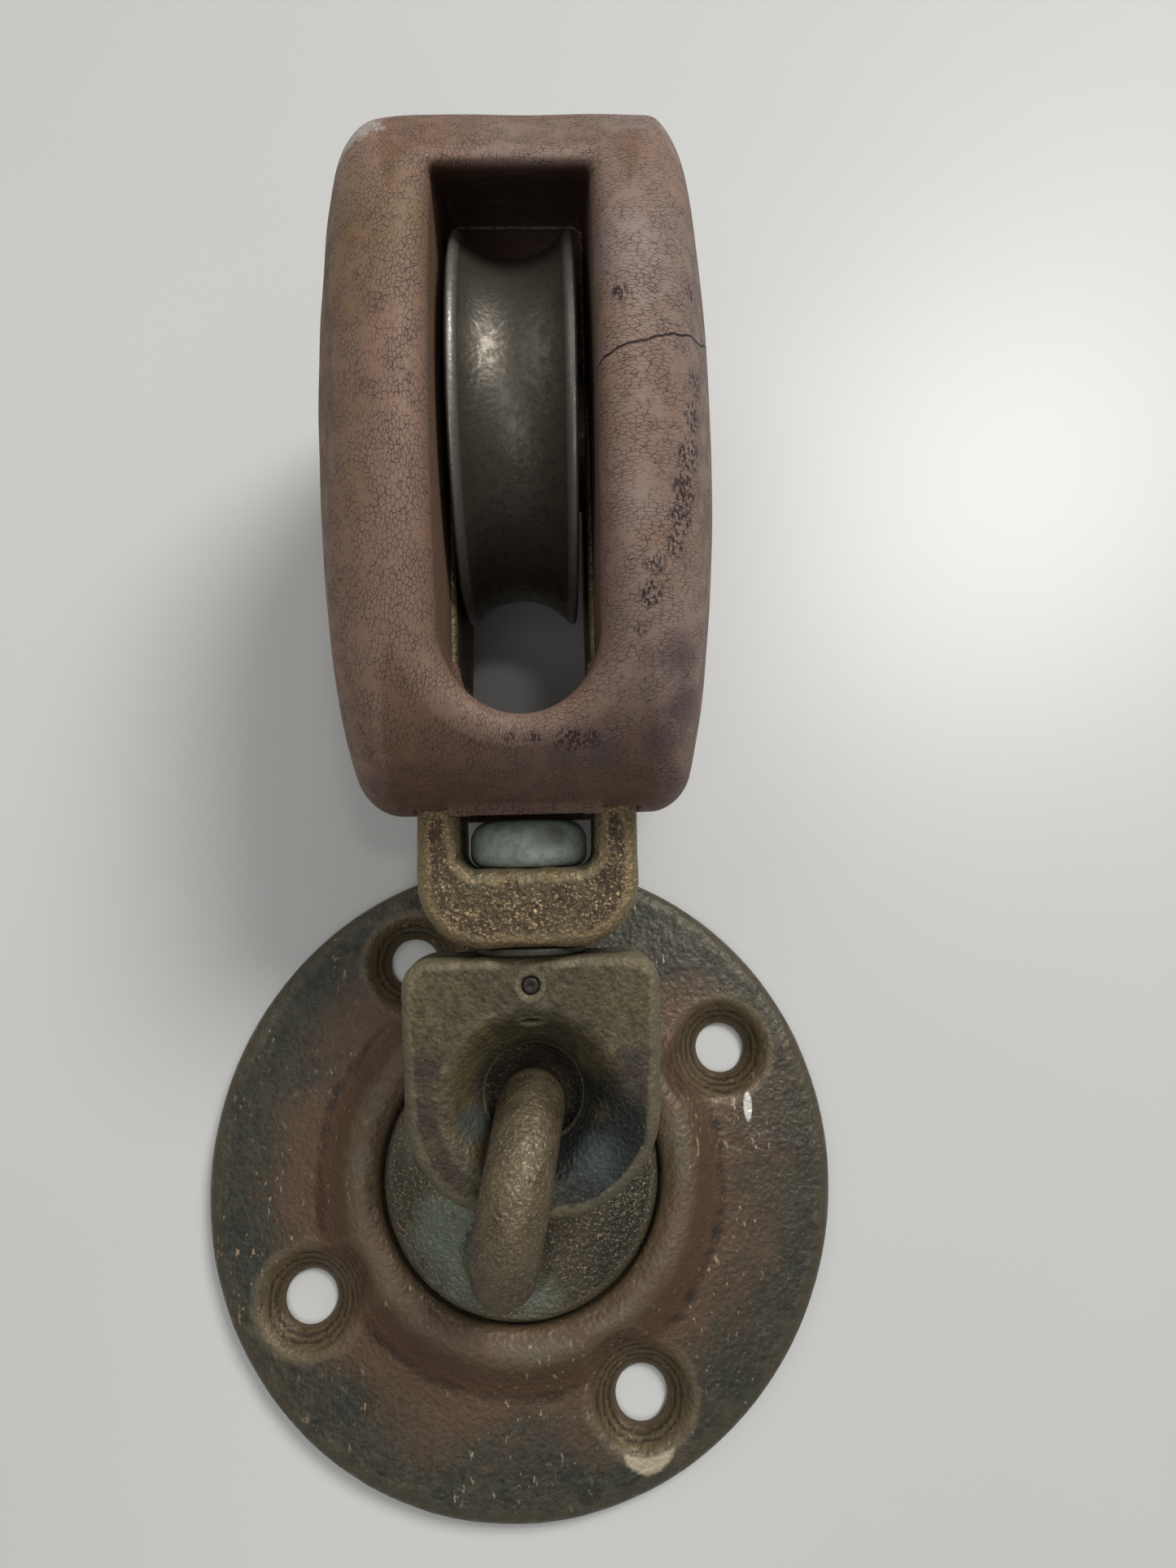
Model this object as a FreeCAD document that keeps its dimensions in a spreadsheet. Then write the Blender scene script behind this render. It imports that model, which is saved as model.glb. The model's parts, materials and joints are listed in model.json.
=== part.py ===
"""Swivel deck block: a rubber-shelled sheave block on a swivelling bail eye in a round base plate.

The origin is the centre of the base plate's underside, +Z is up out of the plate and +Y points
from the plate towards the block.  The block lies beside the plate with its shell on the floor.
Everything beyond the bail is drawn in the block's own frame, whose origin is the centre of the
link's hole: X across the block, Y along it and Z up through its thickness.
"""
import FreeCAD, Part
import math
import os
import Sketcher

from FreeCAD import Placement, Rotation, Vector

SIZES = {
    # base plate
    "rim_radius": 50.8,
    "rim_height": 2.6,
    "shoulder_radius": 48.6,
    "shoulder_height": 4.3,
    "ring_foot_radius": 31.6,
    "ring_foot_height": 5.5,
    "crest_radius": 26.3,
    "crest_height": 9.2,
    "lip_radius": 22.4,
    "lip_top": 8.2,
    "lip_under": 5.4,
    "crest_round": 2.6,
    "screw_circle": 77.2,
    "screw_radius": 4.1,
    "screw_sink_radius": 7.6,
    "screw_land": 1.0,
    "screw_start_angle": 29.6,
    "screw_count": 4,
    # swivel eye and what holds it in the plate
    "disc_thickness": 1.5,
    "disc_radius": 27.5,
    "disc_gap": 0.03,
    "flange_radius": 26.0,
    "flange_under": 1.65,
    "flange_top": 4.65,
    "flange_gap": 0.08,
    "washer_gap": 0.05,
    "dome_radius": 22.0,
    "dome_edge": 7.6,
    "dome_top": 11.4,
    "bail_height": 20.5,
    "bail_radius": 11.7,
    "bail_bar": 4.9,
    "bail_foot": 7.0,
    "bail_yaw": 9.5,
    # eye link
    "link_reach": 13.65,
    "link_round": 17.0,
    "link_half_width": 18.9,
    "link_head": 20.4,
    "link_thickness": 12.4,
    "link_corner": 5.0,
    "link_edge": 1.6,
    "link_hole": 7.2,
    "link_dish": 12.2,
    "link_land": 1.2,
    "socket_depth": 9.4,
    "pin_radius": 1.2,
    "pin_from_head": 4.2,
    "pin_round": 0.2,
    "slip": 0.03,
    # swivel stud
    "stud_radius": 4.7,
    "stud_running_gap": 0.05,
    "stud_head_radius": 8.7,
    "stud_head_height": 7.0,
    "stud_head_edge": 1.6,
    "stud_washer_radius": 8.4,
    "stud_washer_thickness": 1.0,
    "stud_play": 0.1,
    # strap
    "crown_thickness": 11.4,
    "strap_half_width": 15.9,
    "window_half_width": 9.6,
    "strap_depth": 17.0,
    "arm_depth": 16.0,
    "bow_corner": 9.4,
    "window_corner": 2.2,
    "window_height": 7.9,
    "bow_edge": 1.6,
    # shell
    "shell_length": 100.0,
    "shell_depth": 75.3,
    "shell_oval_reach": 55.0,
    "shell_half_width": 29.2,
    "shell_end_half_width": 23.9,
    "shell_front_half_width": 13.0,
    "shell_corner": 4.5,
    "shell_edge": 7.0,
    "shell_clear": 0.4,
    "throat_half_width": 10.25,
    "throat_from_bow_end": 12.1,
    "throat_from_crown": 6.6,
    "seat_gap": 0.05,
    # sheave and axle
    "sheave_beyond_centre": 8.6,
    "sheave_radius": 28.5,
    "sheave_half_width": 8.5,
    "sheave_offset": 0.35,
    "groove_depth": 3.7,
    "groove_round": 10.0,
    "web_half_width": 6.0,
    "web_outer_radius": 22.0,
    "hub_radius": 12.0,
    "hub_half_width": 8.0,
    "bush_radius": 8.0,
    "bush_half_width": 8.1,
    "axle_radius": 5.0,
    "axle_running_gap": 0.05,
    "thrust_washer_radius": 11.0,
    "cheek_washer_radius": 9.5,
    "cheek_washer_thickness": 1.2,
    "axle_head_radius": 7.0,
    "axle_head_thickness": 3.0,
    "axle_end": 28.3,
    "axle_thread_radius": 3.0,
    "axle_thread_length": 2.4,
    "slot_width": 1.6,
    "slot_depth": 1.2,
    "spanner_radius": 1.1,
    "spanner_circle": 4.6,
    # lie of the block beside the plate
    "block_pitch": 9.8,
    "block_lean": 1.4,
}

doc = FreeCAD.newDocument("swivel_deck_block")
sheet = doc.addObject("Spreadsheet::Sheet", "Sizes")
for row, (alias, number) in enumerate(SIZES.items(), start=1):
    sheet.set("A%d" % row, alias)
    sheet.set("B%d" % row, str(number))
    sheet.setAlias("B%d" % row, alias)
doc.recompute()

sub_parts = []


def size(expression):
    """Value of an expression in the sheet's aliases, each written as Sizes.alias."""
    return float(sheet.evalExpression(expression))


def bind(obj, **expressions):
    """Bind properties of an object to expressions in the sheet's aliases."""
    for name, expression in expressions.items():
        obj.setExpression(name, expression)
    return obj


def at(obj, x="0", y="0", z="0", axis=Vector(0, 0, 1), angle=0.0):
    """Place a primitive: a fixed turn, and an origin bound to the sheet."""
    obj.Placement = Placement(Vector(), Rotation(axis, angle))
    obj.setExpression("Placement.Base.x", x)
    obj.setExpression("Placement.Base.y", y)
    obj.setExpression("Placement.Base.z", z)
    return obj


def box(name, length, width, height, **place):
    """Box whose corner, not its centre, is at the given place."""
    return at(bind(doc.addObject("Part::Box", name), Length=length, Width=width, Height=height), **place)


def cylinder(name, radius, height, **place):
    """Cylinder that stands on the given place."""
    return at(bind(doc.addObject("Part::Cylinder", name), Radius=radius, Height=height), **place)


def cone(name, bottom, top, height, **place):
    """Cone frustum that stands on the given place."""
    made = bind(doc.addObject("Part::Cone", name), Radius1=bottom, Radius2=top, Height=height)
    return at(made, **place)


def fuse(name, shapes):
    """Union of several objects."""
    made = doc.addObject("Part::MultiFuse", name)
    made.Shapes = shapes
    return made


def common(name, base, tool):
    """What two objects share."""
    made = doc.addObject("Part::Common", name)
    made.Base = base
    made.Tool = tool
    return made


def cut(name, base, tools):
    """An object less one or several others."""
    made = doc.addObject("Part::Cut", name)
    made.Base = base
    made.Tool = tools[0] if len(tools) == 1 else fuse(name + "_cutters", tools)
    return made


def rounded(name, base, radius, picks):
    """Fillet the edges whose midpoint and shape satisfy the test."""
    doc.recompute()
    made = doc.addObject("Part::Fillet", name)
    made.Base = base
    numbers = [n for n, edge in enumerate(base.Shape.Edges, start=1) if picks(edge, middle(edge))]
    made.Edges = [(n, size(radius), size(radius)) for n in numbers]
    return made


def middle(edge):
    """Point halfway along an edge."""
    return edge.valueAt(0.5 * (edge.FirstParameter + edge.LastParameter))


def on_planes(edge, **levels):
    """True where both ends and the middle of an edge lie at the given coordinates."""
    spots = [middle(edge)] + [vertex.Point for vertex in edge.Vertexes]
    return all(abs(abs(getattr(p, axis)) - level) < 1e-4 for p in spots for axis, level in levels.items())


def finish(obj, label, place=None):
    """Name an object as a sub-part and put it in its place."""
    obj.Label = label
    if place is not None:
        obj.Placement = place
    sub_parts.append(obj)
    return obj


def origin_plane(body, role):
    """One of a body's own origin planes or axes."""
    return next(item for item in body.Origin.OriginFeatures if item.Role == role)


def hold_point(sketch, line, x, y):
    """Hold the start point of a line at coordinates bound to the sheet."""
    for kind, expression in (("DistanceX", x), ("DistanceY", y)):
        index = sketch.addConstraint(Sketcher.Constraint(kind, -1, 1, line, 1, size(expression)))
        sketch.setExpression("Constraints[%d]" % index, expression)


def polygon(sketch, corners):
    """Closed polygon through corners given as pairs of expressions."""
    points = [Vector(size(x), size(y), 0) for x, y in corners]
    count = len(points)
    for n in range(count):
        sketch.addGeometry(Part.LineSegment(points[n], points[(n + 1) % count]), False)
    for n in range(count):
        sketch.addConstraint(Sketcher.Constraint("Coincident", n, 2, (n + 1) % count, 1))
    for n, (x, y) in enumerate(corners):
        hold_point(sketch, n, x, y)


def turned_body(name, corners, axis_role="Z_Axis", plane_role="XZ_Plane"):
    """PartDesign body turned from a polygon about one of its own axes."""
    body = doc.addObject("PartDesign::Body", name)
    sketch = body.newObject("Sketcher::SketchObject", name + "_profile")
    sketch.AttachmentSupport = [(origin_plane(body, plane_role), "")]
    sketch.MapMode = "FlatFace"
    polygon(sketch, corners)
    turned = body.newObject("PartDesign::Revolution", name + "_turned")
    turned.Profile = sketch
    turned.ReferenceAxis = (origin_plane(body, axis_role), [""])
    turned.Angle = 360
    body.Tip = turned
    return body


def flat_sketch(name):
    """Free sketch in the block's XY plane, for an outline seen from above."""
    return doc.addObject("Sketcher::SketchObject", name)


def thick(name, sketch, thickness):
    """Solid of a flat outline, as thick above its plane as below."""
    made = doc.addObject("Part::Extrusion", name)
    made.Base = sketch
    made.DirMode = "Normal"
    made.Solid = True
    made.Symmetric = True
    made.setExpression("LengthFwd", thickness)
    return made


# ---------------------------------------------------------------- places
BAIL_PLACE = Placement(Vector(), Rotation(Vector(0, 0, 1), -size("Sizes.bail_yaw")))


def block_place():
    """Place of the block's frame: the link's hole, pitched up and leaning aside."""
    pitch = math.radians(size("Sizes.block_pitch"))
    yaw = math.radians(size("Sizes.bail_yaw"))
    reach = size("Sizes.link_reach")
    flat = reach * math.cos(pitch)
    hole = Vector(flat * math.sin(yaw), flat * math.cos(yaw), reach * math.sin(pitch))
    hole.z += size("Sizes.bail_height")
    lean = Rotation(Vector(0, 0, 1), size("Sizes.block_lean"))
    return Placement(hole, lean.multiply(Rotation(Vector(1, 0, 0), size("Sizes.block_pitch"))))


BLOCK_PLACE = block_place()
ALONG_Y = dict(axis=Vector(1, 0, 0), angle=-90)
ALONG_X = dict(axis=Vector(0, 1, 0), angle=90)

# stations along the block's Y axis
CROWN_START = "(Sizes.link_head + Sizes.stud_washer_thickness + 2 * Sizes.stud_play)"
WINDOW_START = "(%s + Sizes.crown_thickness)" % CROWN_START
SHELL_START = "(%s + Sizes.window_height)" % WINDOW_START
SHELL_CENTRE = "(%s + Sizes.shell_length / 2)" % SHELL_START
AXLE = "(%s + Sizes.sheave_beyond_centre)" % SHELL_CENTRE


# ---------------------------------------------------------------- base plate
def make_base_plate():
    """Turned plate with a raised ring, four countersunk screw holes and the eye's cavity."""
    body = turned_body("plate_turned", [
        ("Sizes.lip_radius", "Sizes.lip_under"),
        ("Sizes.lip_radius", "Sizes.lip_top"),
        ("Sizes.crest_radius", "Sizes.crest_height"),
        ("Sizes.ring_foot_radius", "Sizes.ring_foot_height"),
        ("Sizes.shoulder_radius", "Sizes.shoulder_height"),
        ("Sizes.rim_radius", "Sizes.rim_height"),
        ("Sizes.rim_radius", "0"),
        ("Sizes.disc_radius + Sizes.disc_gap", "0"),
        ("Sizes.disc_radius + Sizes.disc_gap", "Sizes.disc_thickness"),
        ("Sizes.flange_radius + Sizes.flange_gap", "Sizes.disc_thickness"),
        ("Sizes.flange_radius + Sizes.flange_gap", "Sizes.lip_under"),
    ])
    cutters = []
    count = int(size("Sizes.screw_count"))
    for n in range(count):
        angle = "(Sizes.screw_start_angle + %d)" % (n * 360 // count)
        spot = dict(x="Sizes.screw_circle / 2 * cos(%s * 1 deg)" % angle,
                    y="Sizes.screw_circle / 2 * sin(%s * 1 deg)" % angle)
        cutters.append(cylinder("screw_hole_%d" % n, "Sizes.screw_radius", "Sizes.crest_height", **spot))
        sink = cone("screw_sink_%d" % n, "Sizes.screw_radius",
                    "Sizes.screw_sink_radius + 2", "Sizes.screw_sink_radius - Sizes.screw_radius + 2",
                    z="Sizes.screw_land", **spot)
        cutters.append(sink)
    drilled = cut("plate_drilled", body, cutters)
    crest = size("Sizes.crest_height")
    softened = rounded("plate_softened", drilled, "Sizes.crest_round",
                       lambda edge, spot: on_planes(edge, z=crest))
    finish(softened, "base_plate")


# ---------------------------------------------------------------- swivel eye
def make_swivel_eye():
    """Domed turntable with a round-bar bail, its bearing washer and its retaining disc."""
    flange = cylinder("eye_flange", "Sizes.flange_radius", "Sizes.flange_top - Sizes.flange_under",
                      z="Sizes.flange_under")
    neck = cylinder("eye_neck", "Sizes.dome_radius", "Sizes.dome_top - Sizes.flange_under",
                    z="Sizes.flange_under")
    rise = "(Sizes.dome_top - Sizes.dome_edge)"
    dome_round = "((Sizes.dome_radius * Sizes.dome_radius + %s * %s) / (2 * %s))" % (rise, rise, rise)
    ball = at(bind(doc.addObject("Part::Sphere", "eye_ball"), Radius=dome_round),
              z="Sizes.dome_top - %s" % dome_round)
    dome = common("eye_dome", neck, ball)
    arch = bind(doc.addObject("Part::Torus", "eye_arch"),
                Radius1="Sizes.bail_radius", Radius2="Sizes.bail_bar")
    arch.Angle3 = 180
    arch.Placement = Placement(Vector(), Rotation(Vector(1, 1, 1), 120))
    arch.setExpression("Placement.Base.z", "Sizes.bail_height")
    legs = [cylinder("eye_leg_%d" % n, "Sizes.bail_bar", "Sizes.bail_height - Sizes.bail_foot",
                     y="%d * Sizes.bail_radius" % side, z="Sizes.bail_foot")
            for n, side in enumerate((-1, 1))]
    finish(fuse("eye", [flange, dome, arch] + legs), "swivel_eye", BAIL_PLACE)

    washer_blank = cylinder("bearing_blank", "Sizes.flange_radius",
                            "Sizes.lip_under - Sizes.flange_top - 2 * Sizes.washer_gap",
                            z="Sizes.flange_top + Sizes.washer_gap")
    washer_bore = cylinder("bearing_bore", "Sizes.lip_radius", "Sizes.lip_under")
    finish(cut("bearing", washer_blank, [washer_bore]), "eye_bearing_washer")

    finish(cylinder("disc", "Sizes.disc_radius", "Sizes.disc_thickness"), "eye_retaining_disc")


# ---------------------------------------------------------------- eye link and stud
def make_eye_link():
    """Shield-shaped link: a round eye dished from both faces and a square head for the stud."""
    sketch = flat_sketch("link_outline")
    eye = size("Sizes.link_round")
    corner = Vector(size("Sizes.link_half_width"), size("Sizes.link_head"), 0)
    turn = math.atan2(corner.y, corner.x) - math.acos(eye / corner.Length)
    touch = Vector(eye * math.cos(turn), eye * math.sin(turn), 0)
    left = Vector(-corner.x, corner.y, 0)
    left_touch = Vector(-touch.x, touch.y, 0)
    circle = Part.Circle(Vector(), Vector(0, 0, 1), eye)
    sketch.addGeometry(Part.LineSegment(left, corner), False)
    sketch.addGeometry(Part.LineSegment(corner, touch), False)
    sketch.addGeometry(Part.ArcOfCircle(circle, math.pi - turn, 2 * math.pi + turn), False)
    sketch.addGeometry(Part.LineSegment(left_touch, left), False)
    sketch.addConstraint(Sketcher.Constraint("Coincident", 0, 2, 1, 1))
    sketch.addConstraint(Sketcher.Constraint("Tangent", 1, 2, 2, 2))
    sketch.addConstraint(Sketcher.Constraint("Tangent", 3, 1, 2, 1))
    sketch.addConstraint(Sketcher.Constraint("Coincident", 3, 2, 0, 1))
    sketch.addConstraint(Sketcher.Constraint("Coincident", 2, 3, -1, 1))
    index = sketch.addConstraint(Sketcher.Constraint("Radius", 2, eye))
    sketch.setExpression("Constraints[%d]" % index, "Sizes.link_round")
    hold_point(sketch, 0, "-Sizes.link_half_width", "Sizes.link_head")
    hold_point(sketch, 1, "Sizes.link_half_width", "Sizes.link_head")
    blank = thick("link_blank", sketch, "Sizes.link_thickness")
    cornered = rounded("link_cornered", blank, "Sizes.link_corner",
                       lambda edge, spot: on_planes(edge, x=corner.x, y=corner.y))
    face = size("Sizes.link_thickness") / 2
    edged = rounded("link_edged", cornered, "Sizes.link_edge",
                    lambda edge, spot: on_planes(edge, z=face))

    half = "Sizes.link_thickness / 2"
    hole = cylinder("link_hole", "Sizes.link_hole", "2 * Sizes.link_thickness", z="-Sizes.link_thickness")
    dish_depth = "(%s - Sizes.link_land / 2)" % half
    dishes = [cone("link_dish_up", "Sizes.link_hole", "Sizes.link_dish", dish_depth,
                   z="Sizes.link_land / 2"),
              cone("link_dish_down", "Sizes.link_dish", "Sizes.link_hole", dish_depth, z="-" + half)]
    socket = cylinder("link_socket", "Sizes.stud_radius + Sizes.slip", "Sizes.socket_depth + 1",
                      y="Sizes.link_head - Sizes.socket_depth", **ALONG_Y)
    pin_y = "Sizes.link_head - Sizes.pin_from_head"
    pin_hole = cylinder("link_pin_hole", "Sizes.pin_radius + Sizes.slip", "2 * Sizes.link_thickness",
                        y=pin_y, z="-Sizes.link_thickness")
    finish(cut("link", edged, [hole] + dishes + [socket, pin_hole]), "eye_link", BLOCK_PLACE)

    head_start = "(%s + Sizes.stud_play)" % WINDOW_START
    foot = "(Sizes.link_head - Sizes.socket_depth + 0.2)"
    shank = cylinder("stud_shank", "Sizes.stud_radius", "%s - %s + 1" % (head_start, foot),
                     y=foot, **ALONG_Y)
    head_blank = cylinder("stud_head_blank", "Sizes.stud_head_radius", "Sizes.stud_head_height",
                          y=head_start, **ALONG_Y)
    head = rounded("stud_head", head_blank, "Sizes.stud_head_edge",
                   lambda edge, spot: len(edge.Vertexes) == 1)
    cross_hole = cylinder("stud_cross_hole", "Sizes.pin_radius + Sizes.slip", "2 * Sizes.link_thickness",
                          y=pin_y, z="-Sizes.link_thickness")
    finish(cut("stud", fuse("stud_solid", [shank, head]), [cross_hole]), "swivel_stud", BLOCK_PLACE)

    pin = cylinder("pin_blank", "Sizes.pin_radius", "Sizes.link_thickness - 0.2", y=pin_y,
                   z="-%s + 0.1" % half)
    soft_pin = rounded("pin", pin, "Sizes.pin_round", lambda edge, spot: len(edge.Vertexes) == 1)
    finish(soft_pin, "stud_locking_pin", BLOCK_PLACE)

    washer_at = dict(y="Sizes.link_head + Sizes.stud_play", **ALONG_Y)
    washer_blank = cylinder("stud_washer_blank", "Sizes.stud_washer_radius",
                            "Sizes.stud_washer_thickness", **washer_at)
    washer_bore = cylinder("stud_washer_bore", "Sizes.stud_radius + Sizes.stud_running_gap",
                           "Sizes.stud_washer_thickness", **washer_at)
    finish(cut("stud_washer_cut", washer_blank, [washer_bore]), "stud_washer", BLOCK_PLACE)


# ---------------------------------------------------------------- strap
def make_strap():
    """Forged strap: the bow below the shell and the two arms that carry the axle."""
    arm_top = "(%s + Sizes.arm_depth / 2)" % AXLE
    outer = "Sizes.strap_half_width"
    inner = "Sizes.window_half_width"
    sketch = flat_sketch("strap_outline")
    polygon(sketch, [
        ("-" + outer, CROWN_START), (outer, CROWN_START), (outer, arm_top), (inner, arm_top),
        (inner, WINDOW_START), ("-" + inner, WINDOW_START), ("-" + inner, arm_top),
        ("-" + outer, arm_top),
    ])
    blank = thick("strap_blank", sketch, "Sizes.strap_depth")
    crown = size(CROWN_START)
    sides = size(outer)
    window = size(WINDOW_START)
    top = size(arm_top)
    bowed = rounded("strap_bowed", blank, "Sizes.bow_corner",
                    lambda edge, spot: on_planes(edge, x=sides, y=crown))
    windowed = rounded("strap_windowed", bowed, "Sizes.window_corner",
                       lambda edge, spot: on_planes(edge, x=size(inner), y=window))
    deep = size("Sizes.strap_depth") / 2
    edged = rounded("strap_edged", windowed, "Sizes.bow_edge",
                    lambda edge, spot: on_planes(edge, z=deep) and spot.y < top - 1
                    and abs(spot.x) > size(inner) + 0.1 or on_planes(edge, z=deep, y=crown))
    profile = fuse("strap_profile", [
        box("strap_profile_bow", "2 * %s" % outer, "%s - %s" % (SHELL_START, CROWN_START),
            "Sizes.strap_depth", x="-" + outer, y=CROWN_START, z="-Sizes.strap_depth / 2"),
        box("strap_profile_arms", "2 * %s" % outer, "%s - %s" % (AXLE, CROWN_START),
            "Sizes.arm_depth", x="-" + outer, y=CROWN_START, z="-Sizes.arm_depth / 2"),
        cylinder("strap_profile_end", "Sizes.arm_depth / 2", "2 * %s" % outer,
                 x="-" + outer, y=AXLE, **ALONG_X),
    ])
    shaped = common("strap_shaped", edged, profile)
    stud_bore = cylinder("strap_stud_bore", "Sizes.stud_radius + Sizes.stud_running_gap",
                         "Sizes.crown_thickness + 2", y="%s - 1" % CROWN_START, **ALONG_Y)
    axle_bore = cylinder("strap_axle_bore", "Sizes.axle_radius + Sizes.slip",
                         "2 * %s" % outer, x="-" + outer, y=AXLE, **ALONG_X)
    finish(cut("strap_cut", shaped, [stud_bore, axle_bore]), "strap", BLOCK_PLACE)


# ---------------------------------------------------------------- shell
def make_shell():
    """One-piece moulded shell: a cut-off oval from the side, a barrel from above, round-sided from the end."""
    half_length = size("Sizes.shell_length") / 2
    wide = size("Sizes.shell_half_width")
    end = size("Sizes.shell_end_half_width")
    centre = size(SHELL_CENTRE)
    oval = at(bind(doc.addObject("Part::Ellipse", "shell_oval"), MajorRadius="Sizes.shell_oval_reach",
                   MinorRadius="Sizes.shell_depth / 2"),
              y=SHELL_CENTRE, axis=Vector(1, 1, 1), angle=120)
    side = thick("shell_side", oval, "2 * (Sizes.shell_half_width + Sizes.shell_clear)")
    edged = rounded("shell_edged", side, "Sizes.shell_edge",
                    lambda edge, spot: on_planes(edge, x=size("Sizes.shell_half_width + Sizes.shell_clear")))

    front_flat = "Sizes.shell_front_half_width"
    section_depth = "(Sizes.shell_depth + Sizes.shell_clear)"
    section_length = "(Sizes.shell_length + 2)"
    bodies = [box("shell_section_middle", "2 * %s" % front_flat, section_length, section_depth,
                  x="-" + front_flat, y="%s - %s / 2" % (SHELL_CENTRE, section_length),
                  z="-%s / 2" % section_depth)]
    for n, sign in enumerate(("", "-")):
        bulge_oval = at(bind(doc.addObject("Part::Ellipse", "shell_section_oval_%d" % n),
                             MajorRadius="%s / 2" % section_depth,
                             MinorRadius="Sizes.shell_half_width + Sizes.shell_clear / 2 - %s" % front_flat),
                        x=sign + front_flat, y=SHELL_CENTRE, axis=Vector(1, 1, 1), angle=240)
        bodies.append(thick("shell_section_side_%d" % n, bulge_oval, section_length))
    section = fuse("shell_section", bodies)

    sketch = flat_sketch("shell_outline")
    barrel = (half_length ** 2 + (wide - end) ** 2) / (2 * (wide - end))
    swing = math.asin(half_length / barrel)
    low = centre - half_length
    high = centre + half_length
    right = Part.Circle(Vector(wide - barrel, centre, 0), Vector(0, 0, 1), barrel)
    left = Part.Circle(Vector(barrel - wide, centre, 0), Vector(0, 0, 1), barrel)
    sketch.addGeometry(Part.LineSegment(Vector(-end, low, 0), Vector(end, low, 0)), False)
    sketch.addGeometry(Part.ArcOfCircle(right, -swing, swing), False)
    sketch.addGeometry(Part.LineSegment(Vector(end, high, 0), Vector(-end, high, 0)), False)
    sketch.addGeometry(Part.ArcOfCircle(left, math.pi - swing, math.pi + swing), False)
    sketch.addConstraint(Sketcher.Constraint("Coincident", 0, 2, 1, 1))
    sketch.addConstraint(Sketcher.Constraint("Coincident", 1, 2, 2, 1))
    sketch.addConstraint(Sketcher.Constraint("Coincident", 2, 2, 3, 1))
    sketch.addConstraint(Sketcher.Constraint("Coincident", 3, 2, 0, 1))
    end_width = "Sizes.shell_end_half_width"
    hold_point(sketch, 0, "-" + end_width, SHELL_START)
    hold_point(sketch, 1, end_width, SHELL_START)
    hold_point(sketch, 2, end_width, "%s + Sizes.shell_length" % SHELL_START)
    hold_point(sketch, 3, "-" + end_width, "%s + Sizes.shell_length" % SHELL_START)
    bulge = "(Sizes.shell_half_width - %s)" % end_width
    barrel_radius = "((Sizes.shell_length ^ 2 / 4 + %s ^ 2) / (2 * %s))" % (bulge, bulge)
    for arc in (1, 3):
        index = sketch.addConstraint(Sketcher.Constraint("Radius", arc, barrel))
        sketch.setExpression("Constraints[%d]" % index, barrel_radius)
    front = thick("shell_front", sketch, "Sizes.shell_depth + 2")
    cornered = rounded("shell_cornered", front, "Sizes.shell_corner",
                       lambda edge, spot: abs(spot.z) < 1e-4 and len(edge.Vertexes) == 2
                       and abs(edge.Vertexes[0].Z - edge.Vertexes[1].Z) > 1)
    oval_barrel = common("shell_oval_barrel", cornered, edged)
    moulded = common("shell_moulded", oval_barrel, section)

    throat_low = "(%s + Sizes.throat_from_bow_end)" % SHELL_START
    throat_high = "(%s + Sizes.shell_length - Sizes.throat_from_crown)" % SHELL_START
    half = "Sizes.throat_half_width"
    throat_slot = box("throat_slot", "2 * %s" % half, "%s - %s - %s" % (throat_high, throat_low, half),
                      "2 * Sizes.shell_depth", x="-" + half, y="%s + %s" % (throat_low, half),
                      z="-Sizes.shell_depth")
    throat_end = cylinder("throat_end", half, "2 * Sizes.shell_depth", y="%s + %s" % (throat_low, half),
                          z="-Sizes.shell_depth")
    cutters = [throat_slot, throat_end]
    inner = "(%s - 1)" % half
    outer = "(Sizes.strap_half_width + Sizes.seat_gap)"
    deep = "(Sizes.arm_depth / 2 + Sizes.seat_gap)"
    for n, start in enumerate((inner, "-" + outer)):
        thickness = "%s - %s" % (outer, inner)
        cutters.append(box("arm_seat_%d" % n, thickness, "%s - %s + 1" % (AXLE, SHELL_START),
                           "2 * %s" % deep, x=start, y="%s - 1" % SHELL_START, z="-" + deep))
        cutters.append(cylinder("arm_seat_end_%d" % n, deep, thickness, x=start, y=AXLE, **ALONG_X))
    cutters.append(cylinder("axle_way", "Sizes.axle_radius + Sizes.slip", "4 * Sizes.axle_end",
                            x="-2 * Sizes.axle_end", y=AXLE, **ALONG_X))
    depth = "(Sizes.axle_head_thickness + Sizes.cheek_washer_thickness)"
    for n, start in enumerate(("Sizes.axle_end - %s" % depth, "-Sizes.axle_end - 5")):
        cutters.append(cylinder("washer_seat_%d" % n, "Sizes.cheek_washer_radius + Sizes.slip",
                                "%s + 5" % depth, x=start, y=AXLE, **ALONG_X))
    finish(cut("shell", moulded, cutters), "rubber_shell", BLOCK_PLACE)


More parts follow.
